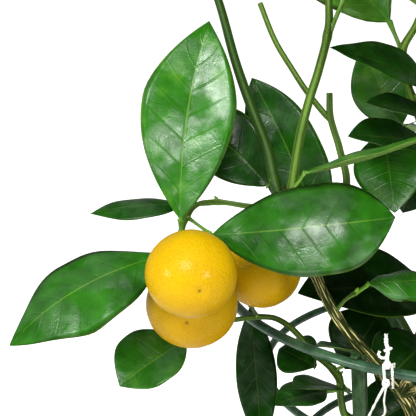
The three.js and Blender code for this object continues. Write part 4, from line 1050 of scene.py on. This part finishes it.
def block(bm, centre, side, outward, rise, wide, deep, high, round_off):
    """Adds a block with rounded edges, its sides along these directions."""
    axes = Matrix((side * wide * MM, outward * deep * MM, rise * high * MM)).transposed()
    place = Matrix.Translation(centre * MM) @ axes.to_4x4()
    made = bmesh.ops.create_cube(bm, size=1, matrix=place)["verts"]
    edges = list({edge for v in made for edge in v.link_edges})
    bmesh.ops.bevel(bm, geom=edges, offset=round_off * MM, affect="EDGES", segments=3, profile=0.5,
                    material=-1)


def make_stake(node, turn):
    """Moulds a flat stake with a rib along each edge and a clip of two fingers at each ring."""
    bm = start_mesh()
    down = (stake_at(STAKE_BOTTOM) - stake_at(RINGS["ring_top"][0])).normalized()
    outward = (STAKE_OUT - down * STAKE_OUT.dot(down)).normalized()
    side = outward.cross(-down)
    top, bottom = stake_at(RINGS["ring_top"][0] + STAKE_OVER), stake_at(STAKE_BOTTOM)
    middle, length = (top + bottom) / 2, (top - bottom).length
    block(bm, middle, side, outward, -down, STAKE_WIDE, STAKE_THICK * 0.7, length, round_off=0.5)
    for sign in (-1, 1):
        block(bm, middle + side * (sign * (STAKE_WIDE - EDGE_RIB) / 2), side, outward, -down, EDGE_RIB,
              STAKE_THICK, length - 1, round_off=0.4)
    for z, _, rod in RINGS.values():
        for sign in (1, -1):
            reach = STAKE_THICK / 2 + 1.5 * rod
            off = rod + GAP + FINGER_THICK / 2
            block(bm, stake_at(z + sign * off) + STAKE_OUT * (reach / 2), STAKE_OUT.cross(UP), STAKE_OUT, UP,
                  FINGER, reach, FINGER_THICK, round_off=0.35)
    bmesh.ops.rotate(bm, verts=bm.verts, cent=(0, 0, 0), matrix=Matrix.Rotation(math.radians(turn), 3, "Z"))
    made = dress(bm, f"moulded_{node}", [PLASTIC], "stake_plastic", node)
    made.data.set_sharp_from_angle(angle=math.radians(40))


# ---- the string tie ----------------------------------------------------------------

PLY_R, TWIST_PITCH = 0.36, 2.3
TIE_TURNS = (72, 75.4)  # the u of each turn round the ring and the limb
TURN_FRONT, TURN_BACK = (-67.2, -3.6, 3.3), (-69.8, -22.8, 4)  # v, w and radius
TIE_KNOTS = [(73.5, -64.4, -0.3), (73, -71.8, -1.6)]
TIE_TAIL = [(73.5, -64.8, -0.3), (73.4, -61.5, 0.6), (73.8, -58, 1.2), (73.1, -55.6, 1.4), (73, -53.2, 1.2)]
TIE_END = [(73, -61.4, 0.8), (71, -61.4, 1.2), (69.9, -60, 1.4), (70.4, -58.8, 1.4)]
TIE_STAKE_Z = 300  # where the strands go round the front stake
STRING_OFF = 1.1  # how far the string's middle lies off the stake
FRAYED_FIBRES, FIBRE_R = 14, 0.14
TIE_STRANDS = [([(72.8, -72.2, -2), (69.3, -78.7, -16), (66, -85.3, -32)], -1),
               ([(73.2, -72.2, -2), (72.2, -78.7, -15), (71.7, -85.3, -29)], 4.2)]


def lay_string(bm, points, stretches, thick=1.0, loose=0.0):
    """Adds string of two plies twisted together along a path."""
    path = smooth_path(points, stretches)
    across, far = frames(path), lengths(path)
    for ply in (0, math.pi):
        centres = []
        for i, point in enumerate(path):
            a = FULL_TURN * far[i] / TWIST_PITCH + ply
            out = PLY_R * thick * (0.85 + loose * far[i])
            centres.append(point + across[i][0] * (out * math.cos(a)) + across[i][1] * (out * math.sin(a)))
        tube(bm, centres, 6, lambda i, angle: (PLY_R * thick, 0))


def make_tie():
    """Ties the string: round the ring and the limb, two knots, and down to the stake."""
    bm = start_mesh()
    for u in TIE_TURNS:
        (v, w, r), (back_v, back_w, back_r) = TURN_FRONT, TURN_BACK
        turn = [(v + r, w), (v, w + r), (v - r, w), (back_v - back_r, back_w), (back_v, back_w - back_r),
                (back_v + back_r, back_w), (v + r, w)]
        lay_string(bm, [front((u + 0.15 * i, *place)) for i, place in enumerate(turn)], 16)
    # each knot: hitches that lie across one another
    for knot in TIE_KNOTS:
        for lean in (0.9, -0.8, 0.1):
            turns = [math.pi * k / 3 for k in range(7)]
            lay_string(bm, [front((knot[0] + 1.1 * math.cos(a), knot[1] + 1.0 * math.sin(a) + 0.4 * lean,
                                   knot[2] + 1.1 * lean * math.cos(a + lean) + 0.3)) for a in turns], 5)
    lay_string(bm, [front(p) for p in TIE_TAIL], 12, thick=1.35, loose=0.01)
    lay_string(bm, [front(p) for p in TIE_END], 8)
    u, v, w = TIE_TAIL[2]
    lay_string(bm, [front((u + 1.3 * math.cos(math.pi * k / 3), v + 0.5 * math.cos(k),
                           w + 1.3 * math.sin(math.pi * k / 3))) for k in range(7)], 5)
    rng = random.Random("frayed end")
    for _ in range(FRAYED_FIBRES):
        start = front(TIE_TAIL[-1])
        way = front_way((rng.uniform(-0.7, 0.5), rng.uniform(0.5, 1.2), rng.uniform(-0.4, 0.6)))
        size = rng.uniform(0.8, 2)
        bow = front_way((rng.uniform(-1, 1), 0.2, rng.uniform(-1, 1)))
        fibre = [start - way, start + way * size * 0.4 + bow * 0.5, start + way * size]
        tube(bm, smooth_path(fibre, 3), 4, lambda i, angle: (FIBRE_R, 0))
    across = -UP.cross(STAKE_OUT)

    def on_stake(sideways, out):
        return stake_at(TIE_STAKE_Z) + across * sideways + STAKE_OUT * out

    wide, deep = STAKE_WIDE / 2 + STRING_OFF, STAKE_THICK / 2 + STRING_OFF
    for path, sideways in TIE_STRANDS:
        lay_string(bm, [*[front(p) for p in path], on_stake(sideways, deep)], 14)
    turn = [(wide, deep), (wide, -deep), (-wide, -deep), (-wide, deep)]
    lay_string(bm, [on_stake(a * s, b) for a, b in turn for s in (1, 0.97)], 6)
    dress(bm, "cotton_tie", [COTTON], "string", "tie")


# ---- pot and soil ------------------------------------------------------------------

POT_HEIGHT, POT_FLOOR, POT_WALL, POT_BASE_R = 186, 9, 7, 72
POT_RIM_R, POT_RIM_HIGH, POT_STEP = 106, 30, 5
DRAINS, DRAIN_R, DRAIN_AT = 3, 6, 44
SOIL_TOP, SOIL_MOUND, SOIL_CLEAR = 166, 5, 0.5
CHIPS_AND_PERLITE, CHIP_SHARE, TRUNK_CLEAR = 420, 0.62, 12


def inner_r(z):
    """The radius inside the pot at a height."""
    return POT_BASE_R - POT_WALL + (POT_RIM_R - POT_STEP - POT_BASE_R) * z / (POT_HEIGHT - POT_RIM_HIGH)


def make_pot():
    """Throws the pot: turns its wall's outline once round, then pierces its floor."""
    under = POT_HEIGHT - POT_RIM_HIGH
    outline = [(0, 0), (POT_BASE_R - 3, 0), (POT_BASE_R - 0.6, 0.8), (POT_BASE_R, 3)]
    outline += [(inner_r(z) + POT_WALL, z) for z in range(12, under - 4, 12)]
    outline += [(POT_RIM_R - POT_STEP, under), (POT_RIM_R - 1.6, under + 0.2), (POT_RIM_R - 0.3, under + 1),
                (POT_RIM_R, under + 2.6), (POT_RIM_R, under + 12), (POT_RIM_R - 0.4, under + 14),
                (POT_RIM_R - 0.4, under + 16), (POT_RIM_R, under + 18), (POT_RIM_R, POT_HEIGHT - 3.5),
                (POT_RIM_R - 1, POT_HEIGHT - 1), (POT_RIM_R - 3, POT_HEIGHT),
                (inner_r(POT_HEIGHT) + 2, POT_HEIGHT),
                (inner_r(POT_HEIGHT) + 0.4, POT_HEIGHT - 1), (inner_r(POT_HEIGHT), POT_HEIGHT - 3),
                (inner_r(120), 120), (inner_r(60), 60), (inner_r(POT_FLOOR) - 0.6, POT_FLOOR + 1.5),
                (inner_r(POT_FLOOR) - 3, POT_FLOOR), (0, POT_FLOOR)]
    bm = start_mesh()
    verts = [bm.verts.new(Vector((r, 0, z)) * MM) for r, z in outline]
    edges = [bm.edges.new(pair) for pair in zip(verts, verts[1:])]
    bmesh.ops.spin(bm, geom=verts + edges, cent=(0, 0, 0), axis=(0, 0, 1), angle=FULL_TURN, steps=120,
                   use_merge=True)
    bmesh.ops.remove_doubles(bm, verts=bm.verts, dist=1e-6)
    for v in bm.verts:
        out = Vector((v.co.x, v.co.y, 0))
        if out.length > POT_BASE_R * 0.8 * MM:
            v.co += out.normalized() * (0.35 * MM * noise.noise(v.co * 25))
    pot = dress(bm, "thrown_pot", [CLAY], "terracotta", "pot")
    drill = bmesh.new()
    for i in range(DRAINS):
        at = Matrix.Rotation(FULL_TURN * i / DRAINS, 4, "Z") @ Vector((DRAIN_AT * MM, 0, 0))
        bmesh.ops.create_cone(drill, cap_ends=True, segments=32, radius1=DRAIN_R * MM, radius2=DRAIN_R * MM,
                              depth=4 * POT_FLOOR * MM, matrix=Matrix.Translation(at))
    cutter = new_object(drill, "drill")
    pot.modifiers.new("drain holes", "BOOLEAN").object = cutter
    pierced = bpy.data.meshes.new_from_object(pot.evaluated_get(bpy.context.evaluated_depsgraph_get()))
    pot.modifiers.clear()
    pot.data = pierced
    pot.data.set_sharp_from_angle(angle=math.radians(50))
    bpy.data.objects.remove(cutter)


def soil_height(x, y):
    """The soil's uneven top, with a dip round the trunk."""
    r = math.hypot(x, y)
    edge = inner_r(SOIL_TOP) - GAP
    mound = SOIL_MOUND * max(0, 1 - (r / edge) ** 2) - 0.8 * (r / edge) ** 2
    rough = 1.5 * noise.noise(Vector((x, y, 0)) / 11) + 0.9 * noise.noise(Vector((x, y, 7)) / 3.2)
    return SOIL_TOP + mound - 1 + rough * min(1, (edge - r) / 6 + 0.2)


def make_soil():
    """Heaps the soil in the pot, and strews bark chips and perlite over it."""
    bm = start_mesh()
    edge, low = inner_r(SOIL_TOP) - SOIL_CLEAR, POT_FLOOR + GAP
    rings, columns = 44, 120
    wall = [(inner_r(z) - SOIL_CLEAR, z) for z in (160, 120, 60, low)] + [(0, low)]

    def place(row, column):
        angle = FULL_TURN * column / columns
        if row <= rings:
            r = edge * row / rings
            x, y = r * math.cos(angle), r * math.sin(angle)
            return Vector((x, y, soil_height(x, y))), 0
        r, z = wall[row - rings - 1]
        return Vector((r * math.cos(angle), r * math.sin(angle), z)), 0

    skin(bm, rings + 1 + len(wall), columns, place)
    dress(bm, "peat_soil", [PEAT], "soil", "soil")
    bm, rng = start_mesh(), random.Random("perlite and bark chips")
    for _ in range(CHIPS_AND_PERLITE):
        r, a = edge * 0.97 * math.sqrt(rng.random()), rng.uniform(0, FULL_TURN)
        x, y = r * math.cos(a), r * math.sin(a)
        if r < TRUNK_CLEAR:
            continue
        chip = rng.random() < CHIP_SHARE
        size = Vector((rng.uniform(1.6, 4.2), rng.uniform(1, 2.4), rng.uniform(0.6, 1.3))) if chip else \
            Vector([rng.uniform(0.8, 1.7)] * 3)
        place = (Matrix.Translation(Vector((x, y, soil_height(x, y) + 0.3 * size.z)) * MM)
                 @ Matrix.Rotation(rng.uniform(0, 6.28), 4, "Z")
                 @ Matrix.Rotation(rng.uniform(-0.4, 0.4), 4, "X")
                 @ Matrix.Diagonal((*size * MM, 1)))
        made = bmesh.ops.create_icosphere(bm, subdivisions=1, radius=1, matrix=place)["verts"]
        for v in made:
            v.co += Vector((rng.uniform(-1, 1), rng.uniform(-1, 1), rng.uniform(-1, 1))) * 0.18 * size.y * MM
        for face in {face for v in made for face in v.link_faces}:
            face.material_index = 0 if chip else 1
    dress(bm, "perlite_and_chips", [CHIPS, PERLITE], "soil", smooth=False)


# ---- all the pieces ----------------------------------------------------------------

make_pot()
make_soil()
make_wood()
for node, (z, r, rod) in RINGS.items():
    make_ring(node, z, r, rod)
for i, turn in enumerate((0, 120, 240)):
    make_stake(f"stake_{i + 1}", turn)
make_tie()
for fruit in FRONT_FRUITS:
    ripen(fruit["node"], front_way(fruit["way"]), fruit["tone"], segments=96)
for name, rows in FRONT_SHOOTS.items():
    make_front_shoot(name, rows)
crown = [(limb, i + 1, row) for limb, rows in CROWN.items() for i, row in enumerate(rows)]
for count, (limb, number, (f, way, rise, length, leaves, *fruit)) in enumerate(crown):
    make_crown_shoot({"limb": limb, "number": number, "f": f, "way": way, "rise": rise, "length": length,
                      "leaves": leaves, "fruit": fruit[0] if fruit else None,
                      "seed": FIRST_SEED + SEED_STEP * count})


# ---- floor, light and camera -------------------------------------------------------


def aim(thing, at, to):
    """Puts a lamp or the camera at a place, looking towards another, both in mm."""
    thing.location = at * MM
    thing.rotation_mode = "QUATERNION"
    thing.rotation_quaternion = (to - at).to_track_quat("-Z", "Y")
    bpy.context.scene.collection.objects.link(thing)


def soft_light(name, way, far, size, watts, mirrored=True):
    """A soft square lamp in a direction from the front spray, in its u, v and w.

    It stands so far off in mm, is so wide in metres, and shows in glossy skins if mirrored.
    """
    lamp = bpy.data.lights.new(name, "AREA")
    lamp.shape, lamp.size, lamp.energy = "SQUARE", size, watts
    thing = bpy.data.objects.new(name, lamp)
    thing.visible_camera = False
    thing.visible_glossy = mirrored
    aim(thing, SPRAY_MIDDLE + front_way(way) * far, SPRAY_MIDDLE)


def make_studio():
    """A pale floor in a white room, two windows, a broad soft lamp above and the camera."""
    bm = bmesh.new()
    bmesh.ops.create_grid(bm, x_segments=1, y_segments=1, size=12)
    floor = new_object(bm, "pale_floor")
    material, add, shader = start_material("pale_paper_floor", Roughness=0.95, Specular_IOR_Level=0)
    # the paper glows only as the camera sees it, so it shows white and adds no light
    glow = add("Math", {0: add("LightPath")["Is Camera Ray"], 1: PAPER_GLOW}, operation="MULTIPLY")[0]
    feed(shader, {"Base Color": "#fbfbfa", "Emission Color": "#ffffff", "Emission Strength": glow})
    floor.data.materials.append(material)
    world = bpy.data.worlds.new("white_room")
    bpy.context.scene.world = world
    world.use_nodes = True
    # the room's walls look white too, but light the tree less than that
    looked_at = add_node(world.node_tree, "LightPath")["Is Camera Ray"]
    strength = add_node(world.node_tree, "MapRange", {0: looked_at, 3: ROOM_LIGHT, 4: 1})[0]
    feed(world.node_tree.nodes["Background"], {"Color": "#ffffff", "Strength": strength})
    soft_light("window_left", (-0.87, 0.05, 0.5), 1300, 0.3, 6)
    soft_light("window_right", (0.62, 0.04, 0.79), 1300, 0.3, 6)
    soft_light("ceiling", (-0.18, 0.46, 0.87), 2000, 0.9, 36)
    soft_light("soft_lamp_above", (-0.19, 0.62, 0.76), 2000, 2.6, 24, mirrored=False)
    view = bpy.context.scene.view_settings
    view.view_transform, view.gamma, view.exposure = "Standard", 0.9, 0.1
    camera = bpy.data.cameras.new("camera")
    camera.sensor_width = SENSOR
    camera.lens = SENSOR * SPRAY_REACH / VIEW_WIDE
    camera.clip_start, camera.clip_end = 0.05, 30
    thing = bpy.data.objects.new("camera", camera)
    aim(thing, SPRAY_MIDDLE + W_AXIS * SPRAY_REACH, SPRAY_MIDDLE)
    bpy.context.scene.camera = thing


PAPER_GLOW, ROOM_LIGHT = 0.6, 0.32
SENSOR, VIEW_WIDE = 36, 170.56  # mm; the second is how much of the spray's plane is in view
make_studio()
